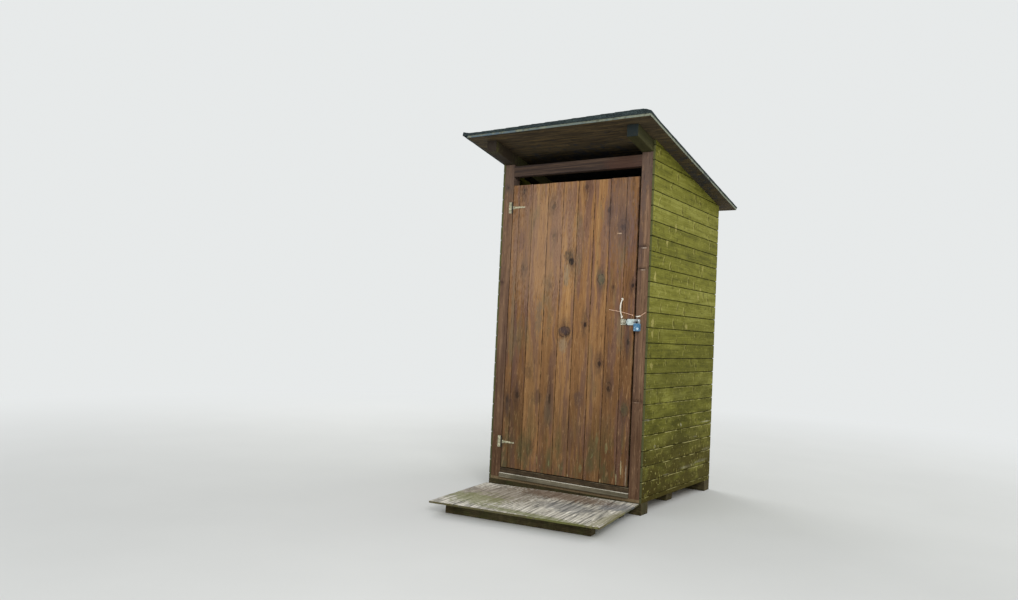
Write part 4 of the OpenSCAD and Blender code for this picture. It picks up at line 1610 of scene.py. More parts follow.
DOOR_WOOD = WoodFinish(
    "warm_brown_boards", (84, 56, 36), (146, 105, 66), (192, 148, 96), ring=0.06, ring_gap=0.006,
    sway=0.012, streak=0.95, streak_scale=58.0, fibre=0.5, tint=0.34, grime=0.92, grime_from=0.466,
    rough=0.66, depth=0.0005, cast=(108, 82, 80), cast_amount=0.55, knot_colour=(66, 52, 50),
    knots=(
        Knot(0.010, 1.486, 0.028, 1.3, 0.1), Knot(0.218, 1.370, 0.023, 1.3, 0.9),
        Knot(-0.021, 1.041, 0.04, 0.8, 0.7), Knot(0.407, 0.591, 0.026, 1.2, 0.5, 0.9),
        Knot(-0.126, 1.640, 0.017, 1.2, 0.1), Knot(-0.150, 1.838, 0.026, 1.2),
        Knot(0.26, 1.785, 0.017, 1.9, 0.1), Knot(0.352, 1.69, 0.034, 1.2, 0.5),
        Knot(-0.372, 1.936, 0.021, 1.3), Knot(-0.344, 1.44, 0.023, 1.2, 0.2),
        Knot(0.426, 1.33, 0.016, 1.3, 0.1), Knot(0.228, 0.863, 0.022, 1.2, 0.3),
        Knot(0.117, 1.10, 0.018, 1.8, 0.1), Knot(-0.356, 0.615, 0.026, 1.4, 0.3),
        Knot(-0.43, 0.57, 0.021, 2.0, 0.2), Knot(0.30, 0.724, 0.018, 1.4, 0.6),
        Knot(0.41, 0.99, 0.016, 2.2, 0.1), Knot(0.10, 1.94, 0.023, 1.3, 0.2, 0.5),
        Knot(-0.11, 0.60, 0.013, 4.0, 0.0), Knot(-0.14, 1.34, 0.026, 1.3, 0.3, 0.5),
        Knot(0.30, 1.32, 0.016, 1.3, 0.1, 0.5),
    ),
    marks=on_front(
        # The first patch pales the upper left: weathering, and partly painted light.
        (-0.24, 1.6, 0.34, 0.5, (174, 144, 118), 0.34), (0.33, 1.74, 0.13, 0.34, (118, 100, 94), 0.42),
        (-0.02, 1.52, 0.034, 0.045, (66, 60, 52), 0.7), (0.21, 1.39, 0.028, 0.05, (96, 88, 72), 0.4),
        (-0.37, 1.62, 0.03, 0.1, (112, 88, 84), 0.5), (-0.42, 0.545, 0.024, 0.08, (76, 66, 66), 0.6),
        (-0.2, 0.62, 0.05, 0.06, (84, 66, 54), 0.5), (0.09, 0.64, 0.03, 0.07, (92, 76, 74), 0.6),
        (-0.28, 0.78, 0.045, 0.07, (92, 70, 52), 0.45), (-0.025, 1.395, 0.022, 0.09, (150, 132, 106), 0.75),
        (-0.03, 0.96, 0.034, 0.055, (160, 136, 106), 0.8), (-0.021, 1.05, 0.05, 0.03, (74, 60, 60), 0.85),
        (0.006, 1.48, 0.022, 0.03, (38, 32, 32), 0.85), (0.334, 1.648, 0.018, 0.004, (208, 180, 150), 0.8),
        (0.218, 1.37, 0.028, 0.04, (112, 104, 84), 0.5), (0.236, 0.40, 0.012, 0.05, LICHEN, 0.75),
        (0.30, 0.36, 0.014, 0.035, LICHEN, 0.75), (0.25, 0.29, 0.022, 0.08, (112, 104, 66), 0.6),
        (0.13, 0.22, 0.012, 0.04, LICHEN, 0.7), (0.400, 0.25, 0.005, 0.06, (214, 206, 160), 0.8),
        (0.372, 0.19, 0.007, 0.04, (206, 198, 150), 0.8), (0.435, 0.22, 0.004, 0.09, (200, 190, 168), 0.7),
        (-0.18, 0.23, 0.004, 0.04, (190, 176, 120), 0.7), (-0.42, 0.33, 0.02, 0.06, (96, 88, 62), 0.6),
        (-0.24, 0.30, 0.04, 0.07, (72, 60, 44), 0.55), (0.407, 0.60, 0.034, 0.05, (92, 88, 66), 0.6),
        (0.36, 1.06, 0.03, 0.16, (128, 112, 84), 0.5), (-0.416, 1.1, 0.016, 0.4, (134, 116, 92), 0.55),
        (-0.215, 1.12, 0.03, 0.15, (112, 102, 88), 0.55),
    ),
    wear=(
        Wear((110, 104, 78), 0.42, 3.0, 4.0, (9.0, 9.0, 2.4), (0.53, 0.68)),
        # The next layer darkens the door towards the bottom: weathering, and partly painted shade.
        Wear((74, 52, 28), 0.75, 0.2, 1.5, (9.0, 9.0, 1.6), (0.12, 0.75)),
        Wear((82, 84, 54), 0.62, 0.2, 0.6, (13.0, 13.0, 4.0), (0.46, 0.62)),
        Wear((150, 156, 108), 0.5, 0.22, 0.46, (26.0, 26.0, 9.0), (0.64, 0.72)),
        Wear((204, 196, 148), 0.6, 0.2, 0.32, (80.0, 80.0, 16.0), (0.65, 0.72)),
        Wear((192, 154, 108), 0.34, 3.0, 4.0, (130.0, 130.0, 18.0), (0.56, 0.7)),
        Wear((64, 42, 30), 0.5, 3.0, 4.0, (120.0, 120.0, 16.0), (0.55, 0.7)),
    ),
)
DOOR_BACK = replace(DOOR_WOOD, name="warm_brown_bars", knots=(), marks=())
HEADER_WOOD = WoodFinish(
    "shaded_header", (36, 30, 30), (66, 54, 48), (110, 88, 72), ring=0.06, streak=1.5, streak_scale=50.0,
    fibre=0.5, grime=0.3, saw=0.2, marks=on_front((0.34, 2.06, 0.16, 0.1, (88, 58, 46), 0.5)),
)
FRAME_WOOD = WoodFinish(
    "raw_frame", (96, 78, 54), (150, 124, 88), (184, 158, 118), ring=0.22, spikes=0.3,
    knot_colour=(84, 58, 36), spike_pale=(170, 146, 106), grime=0.3, saw=0.4,
)
GREY_WOOD = WoodFinish(
    "grey_sill", (70, 66, 54), (130, 122, 102), (184, 176, 152), ring=0.12, streak_scale=50.0,
    fibre=0.5, grime=0.2, saw=0.3, rough=0.85, depth=0.001, cast=(62, 58, 36), cast_amount=0.4,
    wear=(Wear((228, 222, 204), 0.95, 5.0, 6.0, (7.0, 60.0, 60.0), (0.34, 0.5), 0.42, Side.FACE),),
)
THRESHOLD_WOOD = replace(
    GREY_WOOD, name="threshold_wood", deep=(42, 34, 24), base=(84, 70, 52), pale=(124, 106, 80), grime=0.4,
    cast=(60, 54, 36),
    wear=(Wear((150, 138, 112), 0.7, 5.0, 6.0, (7.0, 60.0, 60.0), (0.46, 0.6), 0.45, Side.FACE),),
)
BEARER_WOOD = WoodFinish(
    "ground_bearers", (34, 29, 17), (72, 63, 40), (112, 102, 72), ring=0.12, streak=0.8, fibre=0.5,
    grime=0.4, saw=0.8, mottle=0.5, rough=0.88, depth=0.0014,
    wear=(Wear((62, 70, 32), 0.5, 0.05, 0.2, (9.0, 9.0, 9.0), (0.45, 0.7)),),
)
RAFTER_WOOD = WoodFinish(
    "rafter_wood", (34, 34, 20), (68, 66, 38), (94, 90, 56), ring=0.1, streak=0.8, grime=0.2, saw=0.3,
    # The marks are painted shade: the rafters' front ends and the left rafter's side.
    marks=from_above(
        (0.49, -0.787, 0.3, 0.006, (34, 42, 44), 0.95), (-0.49, -0.787, 0.3, 0.006, (50, 42, 38), 0.9),
        (-0.49, -0.65, 0.3, 0.16, (50, 40, 34), 0.85),
    ),
)
# Painted shade: the sheet's tones are kept dark for the shade under the roof, and its marks darken the front
# edge towards the left and the underside over the cabin.
ROOF_SHEET = SheetFinish(
    "roof_sheet", (34, 27, 17), (73, 62, 44), (110, 92, 58), (140, 146, 128), (40, 33, 22),
    stain_amount=0.4, turn=math.pi / 2, grain=1.0, cracks=0.12, contrast=1.2,
    marks=from_above(
        (-0.45, -0.863, 0.42, 0.006, (84, 104, 118), 0.85), (0.1, -0.863, 0.5, 0.006, (104, 116, 114), 0.75),
        (0.0, 0.0, 0.75, 0.6, (40, 46, 56), 0.7), grain=(20.0, 20.0, 20.0),
    ),
)
STEP_SHEET = SheetFinish(
    "step_sheet", (76, 76, 74), (192, 187, 172), (248, 243, 230), (98, 92, 60), (70, 66, 60),
    stain_amount=0.6, turn=math.pi / 2, grain=1.2, cracks=0.95, contrast=1.6,
    marks=(
        *from_above(
            (0.5, -0.76, 0.16, 0.12, (74, 82, 94), 0.62), (0.28, -0.98, 0.2, 0.14, (80, 84, 90), 0.5),
            grain=(40.0, 10.0, 1.0),
        ),
        *from_above(
            (0.1, -0.72, 0.42, 0.14, (112, 88, 66), 0.75), (-0.2, -0.95, 0.3, 0.28, (108, 92, 70), 0.6),
            grain=(60.0, 60.0, 1.0),
        ),
        *from_above((-0.24, -1.13, 0.26, 0.16, (112, 116, 58), 0.65), grain=(16.0, 16.0, 1.0)),
        *from_above(
            (0.2, -1.27, 0.5, 0.05, (104, 108, 56), 0.7), (0.58, -1.0, 0.05, 0.4, (120, 116, 76), 0.6),
            grain=(60.0, 60.0, 1.0),
        ),
    ),
)
FLOOR_SHEET = SheetFinish(
    "floor_sheet", (90, 74, 52), (140, 118, 86), (170, 148, 112), (130, 110, 80), (80, 64, 46),
    stain_amount=0.5, turn=0.0, grain=1.0, cracks=0.3,
)
SHINGLE = ShingleFinish("shingle_grit", (24, 34, 36), (76, 88, 88), (60, 74, 34))
HINGE = MetalFinish("hinge_paint", (220, 214, 184), (132, 130, 96), (110, 104, 90), 0.1, 0.6, 0.5, 0.3, 1.5)
HASP = MetalFinish("hasp_zinc", (216, 230, 226), (186, 200, 196), (140, 140, 136), 0.25, 0.45, 0.3, 0.12)
HASP_BASE = MetalFinish(
    "hasp_plate_zinc", (222, 220, 200), (104, 96, 70), (90, 84, 68), 0.15, 0.55, 0.5, 0.35, 1.8,
)
LOCK_BLUE = MetalFinish(
    "lock_paint", (50, 104, 142), (90, 138, 168), (196, 212, 222), 0.0, 0.3, 0.5, 0.1,
    # Painted light: the first patch is a highlight at the lower right, and the other two are shade along the
    # left and bottom edges.
    marks=(
        Mark((0.484, -0.596, 1.078), (0.009, 0.01, 0.007), (206, 228, 240), 0.9, (160.0, 160.0, 160.0)),
        Mark((0.458, -0.596, 1.08), (0.003, 0.03, 0.03), LOCK_SHADE_BLUE, 0.7, (160.0, 160.0, 60.0)),
        Mark((0.476, -0.596, 1.064), (0.03, 0.03, 0.004), LOCK_SHADE_BLUE, 0.7, (160.0, 160.0, 60.0)),
    ),
)
# The knuckles, the hasp's eye and the staple take this dark steel partly as rusty steel and partly as
# painted shade, for the dark gaps at the pins and in the flap's slot.
DARK_STEEL = MetalFinish("dark_steel", (58, 54, 48), (40, 34, 28), (92, 90, 84), 0.6, 0.5, 0.3, 0.5)
BRIGHT = MetalFinish("bright_steel", (196, 198, 200), (160, 164, 168), (120, 120, 120), 0.9, 0.28, 0.2, 0.2)
NAIL_STEEL = MetalFinish("nail_steel", (104, 98, 84), (72, 66, 52), (60, 52, 40), 0.5, 0.6, 0.4, 0.7)
ROPE = CordFinish("rope_fibre", (246, 242, 230), (206, 196, 172))
TWINE = CordFinish("twine_fibre", (246, 208, 178), (206, 156, 126))


# Parts


@dataclass
class Base:
    """The ground bearers, the floor, the sill and the threshold."""

    bearers: tuple[str, ...] = ("front_bearer", "middle_bearer", "rear_bearer")

    def build(self) -> None:
        """Builds the timbers that carry the cabin."""
        sticks = [Stick.of_node(node, "X", "Z") for node in self.bearers]
        bearers = saw("ground_bearers", sticks, BEARER_WOOD, 14, 0.0, 0.003)
        settle(bearers, "cabin", "frame_wood", *self.bearers)
        spans = list(zip(*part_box("floor_deck")))
        floor = slab("floor_sheet", lambda x, y, z: Vector((x, y, z)), spans, (12, 12), FLOOR_SHEET)
        settle(floor, "cabin", "frame_wood", "floor_deck")
        for name, node, finish, round_over, seed in (
            ("lower_sill_board", "lower_sill", GREY_WOOD, 0.002, 4),
            ("threshold_board", "threshold", THRESHOLD_WOOD, 0.0025, 8),
        ):
            board = saw(name, [Stick.of_node(node, "X", "Z")], finish, 12, 0.0006, round_over, seed)
            settle(board, "cabin", "weathered_wood", node)


@dataclass
class Frame:
    """Posts, header, rails, studs and rafters."""

    rafter_deep: float = 0.068
    over: float = 0.02
    rails_and_studs: tuple[str, ...] = (
        "rear_top_rail", "left_bottom_rail", "right_bottom_rail", "rear_bottom_rail",
        "left_stud", "right_stud", "rear_stud",
    )

    def build(self) -> None:
        """Builds the frame."""
        self.posts()
        stick = Stick.of_node("header", "X", "Y")
        header = saw("header_timber", [stick], HEADER_WOOD, 10, 0.0008, 0.002, 21)
        settle(header, "cabin", "post_wood", "header")
        self.rails()
        self.rafters()

    def sloped(self, node: str, along: str, face: str) -> Stick:
        """Makes a node's stick with its top cut to the roof's slope.

        Args:
            node: The node.
            along: The axis that the stick runs along.
            face: The axis that its face looks along.

        Returns:
            The stick.
        """
        low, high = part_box(node)
        cuts = (((0.0, FRONT, POST_TOP), (0.0, SLOPE, 1.0)),)
        return Stick.between(low, (high.x, high.y, high.z + self.over), along, face, cuts)

    def posts(self) -> None:
        """Builds the four posts."""
        for end, side, finish, seed in (
            ("front", "left", RED_BROWN, 14), ("front", "right", RED_BROWN, 13),
            ("rear", "left", FRAME_WOOD, 12), ("rear", "right", FRAME_WOOD, 11),
        ):
            node = f"{end}_{side}_post"
            piece = saw(node + "_timber", [self.sloped(node, "Z", "Y")], finish, 16, 0.0008, 0.0022, seed)
            settle(piece, "cabin", "post_wood", node)

    def rails(self) -> None:
        """Builds the rails and studs inside the cladding."""
        sticks = []
        for node in self.rails_and_studs:
            rear, upright = "rear" in node, "stud" in node
            along = "Z" if upright else ("X" if rear else "Y")
            make = Stick.of_node if rear or not upright else self.sloped
            sticks.append(make(node, along, "Y" if rear else "X"))
        piece = saw("wall_frame", sticks, FRAME_WOOD, 8, 0.0005, 0.0018, 31)
        settle(piece, "cabin", "frame_wood", *self.rails_and_studs)

    def rafters(self) -> None:
        """Builds the two rafters with plumb ends."""
        nodes = ("left_rafter", "right_rafter")
        sticks = []
        for node in nodes:
            low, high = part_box(node)
            y = (low.y + high.y) / 2
            under = POST_TOP - (y - FRONT) * SLOPE
            middle = ((low.x + high.x) / 2, y, under + self.rafter_deep / math.cos(PITCH) / 2 + SEAT)
            size = ((high.y - low.y) / math.cos(PITCH) + 2 * self.over, self.rafter_deep, high.x - low.x)
            cuts = (((0, low.y, 0), (0, -1, 0)), ((0, high.y, 0), (0, 1, 0)))
            sticks.append(Stick(middle, size, (0, math.cos(PITCH), -math.sin(PITCH)), (1, 0, 0), cuts))
        settle(saw("rafters", sticks, RAFTER_WOOD, 12, 0.0004, 0.002, 41), "cabin", "frame_wood", *nodes)


@dataclass
class Walls:
    """Three walls of horizontal boards with dark joints."""

    first: float = 0.099
    cover: float = 0.09
    courses: int = 24
    gap: float = 0.0036
    tongue: float = 0.006
    inset: float = 0.001
    nail: float = 0.0026
    nail_rows: Pair = (0.24, 0.76)
    side_uprights: Point = (-0.53, 0.0, 0.516)
    rear_uprights: Point = (-0.49, 0.0, 0.49)

    def build(self) -> None:
        """Builds the walls and their nails."""
        spots = []
        for side, seed in (("left", 51), ("right", 52), ("rear", 53)):
            node = side + "_cladding"
            low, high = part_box(node)
            sticks = self.boards(side, low, high, random.Random(seed))
            boards = saw(side + "_wall_boards", sticks, OLIVE, 12, 0.0007, 0.0016, seed)
            settle(boards, "cabin", "cladding_wood", node)
            spots += self.nails(side, low, high, random.Random(seed + 10))
        nails = FIXINGS.drive("wall_nails", Fixing.NAIL, spots, self.nail, NAIL_STEEL)
        settle(nails, "cabin", "hinge_metal")

    @staticmethod
    def top_at(y: float) -> float:
        """Gives the height where the cladding meets the roof sheet."""
        return DECK_FRONT - (y - FRONT) * SLOPE - SEAT

    def boards(self, side: str, low: Vector, high: Vector, pick: random.Random) -> list[Stick]:
        """Gives one wall's boards and the tongues behind their joints.

        Args:
            side: left, right or rear.
            low: The wall's lowest corner.
            high: Its highest corner.
            pick: What varies the boards.

        Returns:
            The sticks.
        """
        along, face = ("X", "Y") if side == "rear" else ("Y", "X")
        axis = "XYZ".index(face)
        cuts = (((0.0, FRONT, self.top_at(FRONT)), (0.0, SLOPE, 1.0)),)
        near = high[axis] - self.inset - self.tongue if side == "left" else low[axis] + self.inset
        sticks = []
        line = self.first - self.cover
        while line < high.z:
            foot, head = Vector(low), Vector(high)
            foot.z, head.z = max(line + self.gap / 2, low.z), line + self.cover - self.gap / 2
            sticks.append(replace(Stick.between(foot, head, along, face, cuts), shade=pick.random()))
            line += self.cover
            foot.z, head.z = line - self.tongue, line + self.tongue
            foot[axis], head[axis] = near, near + self.tongue
            # Each joint's tongue is darkened by its finish as painted shade.
            if line + self.tongue < high.z + 0.02:
                sticks.append(Stick.between(foot, head, along, face, cuts).in_shade())
        return sticks

    def nails(self, side: str, low: Vector, high: Vector, pick: random.Random) -> Spots:
        """Gives the nails of one wall, two to a board at each upright.

        Args:
            side: left, right or rear.
            low: The wall's lowest corner.
            high: Its highest corner.
            pick: What scatters them.

        Returns:
            Places and the way each faces.
        """
        spots = []
        rear = side == "rear"
        for number, row, part in product(
            range(self.courses), self.rear_uprights if rear else self.side_uprights, self.nail_rows
        ):
            z = self.first + (number + part) * self.cover + pick.uniform(-0.004, 0.004)
            run = row + pick.uniform(-0.006, 0.006)
            if z > self.top_at(high.y if rear else run) - 0.012:
                continue
            if rear:
                spots.append(((run, high.y, z), (0.0, 1.0, 0.0)))
            elif side == "right":
                spots.append(((high.x, run, z), (1.0, 0.0, 0.0)))
            else:
                spots.append(((low.x, run, z), (-1.0, 0.0, 0.0)))
        return spots


@dataclass
class Roof:
    """The roof sheet with its felt, shingles and front cap."""

    thick: float = 0.018
    front_over: float = 0.297
    rear_over: float = 0.09
    depth: float = 1.13
    left: float = -0.674
    right: float = 0.638
    lip: float = 0.004
    drop: float = 0.006
    felt: float = 0.0016
    rim: float = 0.0035
    trim: float = 0.003
    cap: float = 0.024
    lap_wide: float = 0.094
    tints: int = 20

    @staticmethod
    def at(run: float, x: float, lift: float) -> Vector:
        """Takes a place down the slope, across and above the sheet's underside to a point."""
        y = FRONT + run * math.cos(PITCH) + lift * math.sin(PITCH)
        return Vector((x, y, DECK_FRONT - run * math.sin(PITCH) + lift * math.cos(PITCH)))

    @property
    def front(self) -> float:
        """Gives where the felt starts, down the slope from the posts' front."""
        return -(self.front_over + self.lip) / math.cos(PITCH)

    @property
    def back(self) -> float:
        """Gives where the felt ends."""
        return (self.depth + self.rear_over + self.lip) / math.cos(PITCH)

    def build(self) -> None:
        """Builds the sheet, the felt on it, the shingles and both layers of the front cap."""
        self.deck()
        self.underfelt()
        self.shingles()
        self.fold_cap(0, 0.52, 0.0004, 0.1)
        self.fold_cap(1, 1.0, 0.0022, 0.106)

    def sheet(
        self, name: str, spans: Sequence[Pair], cells: tuple[int, int], shape: Shaper, bevel: float,
        finish: Finish = SHINGLE, slot: str = "felt", nodes: Sequence[str] = (),
    ) -> Object:
        """Makes and settles one sheet that lies on the slope.

        Args:
            name: The piece's name.
            spans: Its ranges down the slope, across and through.
            cells: Faces down the slope and across.
            shape: What frays it.
            bevel: How far its edges are rounded.
            finish: The finish.
            slot: The look that it takes.
            nodes: The nodes that it stands for.

        Returns:
            The piece.
        """
        piece = slab(name, self.at, spans, cells, finish, shape, bevel)
        settle(piece, "cabin", slot, *nodes)
        return piece

    def deck(self) -> None:
        """Builds the sheet that shows from below."""
        low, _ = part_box("roof_deck")
        run = (-self.front_over / math.cos(PITCH), (self.depth + self.rear_over) / math.cos(PITCH))

        def fray(u: float, v: float, _: float) -> Point:
            """Frays the front and side edges a little, always inwards.

            Args:
                u: The place along the slope, from -0.5 to 0.5.
                v: The place across it, from -0.5 to 0.5.
                _: The height in the sheet, which takes no part.

            Returns:
                The shift along, across and up.
            """
            ragged = 0.0022 * (noise.noise(Vector((v * 9.0, u * 9.0, 2.0))) - 0.6)
            inward = ragged * math.copysign(1, v) if abs(v) > 0.499 else 0.0
            return -ragged if u < -0.499 else 0.0, inward, 0.0

        spans = (run, (low.x, -low.x), (0.0, self.thick))
        self.sheet("roof_sheet", spans, (40, 40), fray, 0.0012, ROOF_SHEET, "deck_wood", ["roof_deck"])

    def underfelt(self) -> None:
        """Builds the felt under the shingles and its turned-down edges."""
        front, back, base = self.front, self.back, self.thick + SEAT

        def fray(u: float, v: float, _: float) -> Point:
            """Frays the felt's edges.

            Args:
                u: The place along the slope, from -0.5 to 0.5.
                v: The place across it, from -0.5 to 0.5.
                _: The height in the sheet, which takes no part.

            Returns:
                The shift along, across and up.
            """
            inward = 0.002 * (1.0 + noise.noise(Vector((v * 26.0, u * 21.0, 7.0))))
            across = -inward * math.copysign(1, v) if abs(v) > 0.499 else 0.0
            return inward if u < -0.499 else 0.0, across, 0.0

        def hang(u: float, v: float, t: float) -> Point:
            """Frays a rim's lower edge."""
            ragged = 0.0016 * (1.0 + noise.noise(Vector((v * 40.0, u * 40.0, 3.0))))
            return 0.0, 0.0, 0.0 if t > 0 else ragged

        spans = ((front, back), (self.left, self.right), (base, base + self.felt))
        self.sheet("roof_underfelt", spans, (60, 60), fray, 0.0005, nodes=["roof_felt"])
        near, across, hem = 0.0003, (self.left + 0.006, self.right - 0.001), (front + 0.001, back - 0.001)
        far = near + self.rim
        deep = (self.thick - self.drop + 0.0002, base + self.trim)
        for side, run, over, cells in (
            ("front", (front + near, front + far), across, (2, 70)),
            ("right", hem, (self.right - far, self.right - near), (70, 2)),
            ("rear", (back - far, back - near), across, (2, 70)),
        ):
            self.sheet(f"roof_felt_rim_{side}", (run, over, deep), cells, hang, 0.0006)

    def shingles(self) -> None:
        """Lays the shingle courses and trims them to the roof's edges."""
        piece = run_tree(
            "roof_shingles", bpy.data.meshes.new("shingle_start"), TREES.shingles, Tabs=11, Courses=12,
            Tab_width=0.1458, Exposure=0.135, Tab_length=0.18, Thickness=0.0024, Corner=0.014,
            Unevenness=0.0008, Seed=7, Finish=SHINGLE.material,
        )
        front, back = self.front + self.trim, self.back - self.trim
        middle_x, middle_run = (self.left + self.right) / 2, (front + back) / 2
        body = bmesh.new()
        body.from_mesh(piece.data)
        for place, away in (
            ((self.right - 0.002 - middle_x, 0.0, 0.0), (1, 0, 0)),
            ((self.left + 0.002 - middle_x, 0.0, 0.0), (-1, 0, 0)),
            ((0.0, front - middle_run, 0.0), (0, -1, 0)),
            ((0.0, back - middle_run, 0.0), (0, 1, 0)),
        ):
            _, rim = cut_off(body, [*body.verts, *body.edges, *body.faces], place, away)
            bmesh.ops.holes_fill(body, edges=rim)
        for vert in body.verts:
            x, run, lift = vert.co
            vert.co = self.at(run + middle_run, x + middle_x, self.thick + 0.0015 + lift)
        settle(dress(piece, body, SHINGLE), "cabin", "felt")

    def crest(self, x: float) -> float:
        """Gives the front cap's height at a place across the roof: low on the left, with a curled tip.

        Args:
            x: The place.

        Returns:
            The height.
        """
        grow = 0.36 + 0.64 * min(1.0, max(0.0, (x + 0.5) / 1.05))
        grow += (0.8 - grow) * min(1.0, max(0.0, (self.left + 0.06 - x) / 0.06))
        return self.cap * grow * min(1.0, 0.25 + 15.0 * max(0.0, self.right - x))

    def fold_cap(self, number: int, share: float, out: float, deep: float) -> None:
        """Folds one layer of lapped caps over the high front edge.

        Args:
            number: The layer, from 0.
            share: How much of the crest's height it has.
            out: How far behind the felt's front it starts.
            deep: How far behind it ends.
        """
        pick = random.Random(77 + number)
        tints = [pick.random() for _ in range(self.tints)]
        base = self.thick + 0.0006

        def lap(x: float) -> float:
            """Gives how many caps lie between the left edge and a place."""
            return (x - self.left) / self.lap_wide + 0.45 * number

        def fold(u: float, v: float, t: float) -> Point:
            """Raises the top to the folded shape, with a step at each lap.

            Args:
                u: The place along the slope, from -0.5 to 0.5.
                v: The place across it, from -0.5 to 0.5.
                t: The height in the sheet, from -0.5 to 0.5.

            Returns:
                The shift along, across and up.
            """
            x = self.left + (v + 0.5) * (self.right - self.left)
            rest = 1.0 - (u + 0.5)
            wave = 0.0008 * (noise.noise(Vector((x * 22.0, u * 3.0, 5.0 + number))) - 1.0)
            ragged = 0.0014 * (1.0 + noise.noise(Vector((x * 34.0, t, 9.0 + number))))
            top = 0.0068 + share * self.crest(x) * min(1.0, rest / 0.8) - 0.0024 * (lap(x) % 1.0) + wave
            return ragged if u < -0.499 else 0.0, 0.0, max(0.0, top - 0.001) if t > 0 else 0.0

        run, across = (self.front + out, self.front + deep), (self.left + 0.002, self.right - 0.002)
        spans = (run, across, (base, base + 0.001))
        piece = self.sheet(f"roof_cap_{number + 1}", spans, (8, 280), fold, 0.0016)
        boards = piece.data.attributes["board"].data
        for vert in piece.data.vertices:
            boards[vert.index].value = tints[int(lap(vert.co.x) + 1) % self.tints]


@dataclass
class Door:
    """The boarded door with its ledges and braces."""

    seams: tuple[float, ...] = (-0.451, -0.403, -0.301, -0.181, -0.071, 0.036, 0.152, 0.26, 0.368, 0.445)
    gap: float = 0.0024
    tongue: Point = (0.005, 0.006, 0.003)
    brace: float = 0.08
    inset: float = 0.04
    nail: float = 0.0024
    clear: float = 0.35
    ledges: tuple[str, ...] = ("door_top_ledge", "door_middle_ledge", "door_bottom_ledge")

    @property
    def boards(self) -> list[Pair]:
        """Gives where each board starts and ends."""
        return list(zip(self.seams, self.seams[1:]))

    def build(self) -> None:
        """Builds the door's woodwork and nails."""
        self.planks()
        sticks = [Stick.of_node(node, "X", "Y") for node in self.ledges]
        bars = saw("door_ledges", sticks, DOOR_BACK, 10, 0.0004, 0.002, 92)
        settle(bars, "door", "door_wood", *self.ledges)
        self.braces()
        self.nails()

    def planks(self) -> None:
        """Builds the boards, each with a finish of its own."""
        low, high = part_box("door_boards")
        pick = random.Random(91)
        sticks = []
        for left, right in self.boards:
            start = left + (self.gap / 2 if left > self.seams[0] else 0.0)
            end = right - (self.gap / 2 if right < self.seams[-1] else 0.0)
            drop = pick.uniform(0.0, 0.0025)
            foot = low.z + pick.uniform(0.0, 0.002)
            stick = Stick.between((start, low.y, foot), (end, high.y, high.z - drop), "Z", "Y")
            sticks.append(replace(stick, shade=pick.random()))
        x, y, z = self.tongue
        inner = self.seams[1:-1]
        # The tongues behind the seams are darkened by their finish as painted shade.
        for seam in inner:
            foot, head = (seam - x, low.y + y, low.z + z), (seam + x, high.y - y, high.z - z)
            sticks.append(Stick.between(foot, head, "Z", "Y").in_shade())
        planks = saw("door_planks", sticks, DOOR_BACK, 18, 0.0007, 0.0014, 91)
        for number, (left, right) in enumerate(self.boards):
            planks.data.materials.append(DOOR_WOOD.between(left, right, number + 1).material)
        for face in planks.data.polygons:
            face.material_index = 1 + sum(face.center.x > seam for seam in inner)
        settle(planks, "door", "door_wood", "door_boards")

    def braces(self) -> None:
        """Builds the two slanting braces, cut level where they meet the ledges."""
        low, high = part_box("door_braces")
        boxes = [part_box(node) for node in self.ledges]
        y = (low.y + high.y) / 2
        sticks = []
        for upper, lower in zip(boxes, boxes[1:]):
            bottom, top = lower[1].z, upper[0].z
            foot, head = Vector((low.x + self.inset, y, bottom)), Vector((high.x - self.inset, y, top))
            run = head - foot
            size = (run.length + 2 * self.brace, self.brace * run.z / run.length, high.y - low.y)
            cuts = (((0, 0, bottom), (0, 0, -1)), ((0, 0, top), (0, 0, 1)))
            sticks.append(Stick(tuple((foot + head) / 2), size, tuple(run.normalized()), (0, 1, 0), cuts))
        bars = saw("door_brace_bars", sticks, DOOR_BACK, 10, 0.0003, 0.0018, 93)
        settle(bars, "door", "door_wood", "door_braces")

    def nails(self) -> None:
        """Drives nails through every board into the ledges."""
        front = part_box("door_boards")[0].y
        pick = random.Random(95)
        spots = []
        for node, (left, right), part in product(self.ledges, self.boards, (0.26, 0.74)):
            low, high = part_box(node)
            if right < low.x + 0.02:
                continue
            x = (left + right) / 2 + pick.uniform(-0.014, 0.014)
            z = low.z + part * (high.z - low.z) + pick.uniform(-0.006, 0.006)
            middle = node == "door_middle_ledge"
            if (x > self.clear and middle) or (x < -self.clear and not middle):
                continue
            spots.append(((x, front, z), (0.0, -1.0, 0.0)))
        nails = FIXINGS.drive("door_nails", Fixing.NAIL, spots, self.nail, NAIL_STEEL)
        settle(nails, "door", "hinge_metal")


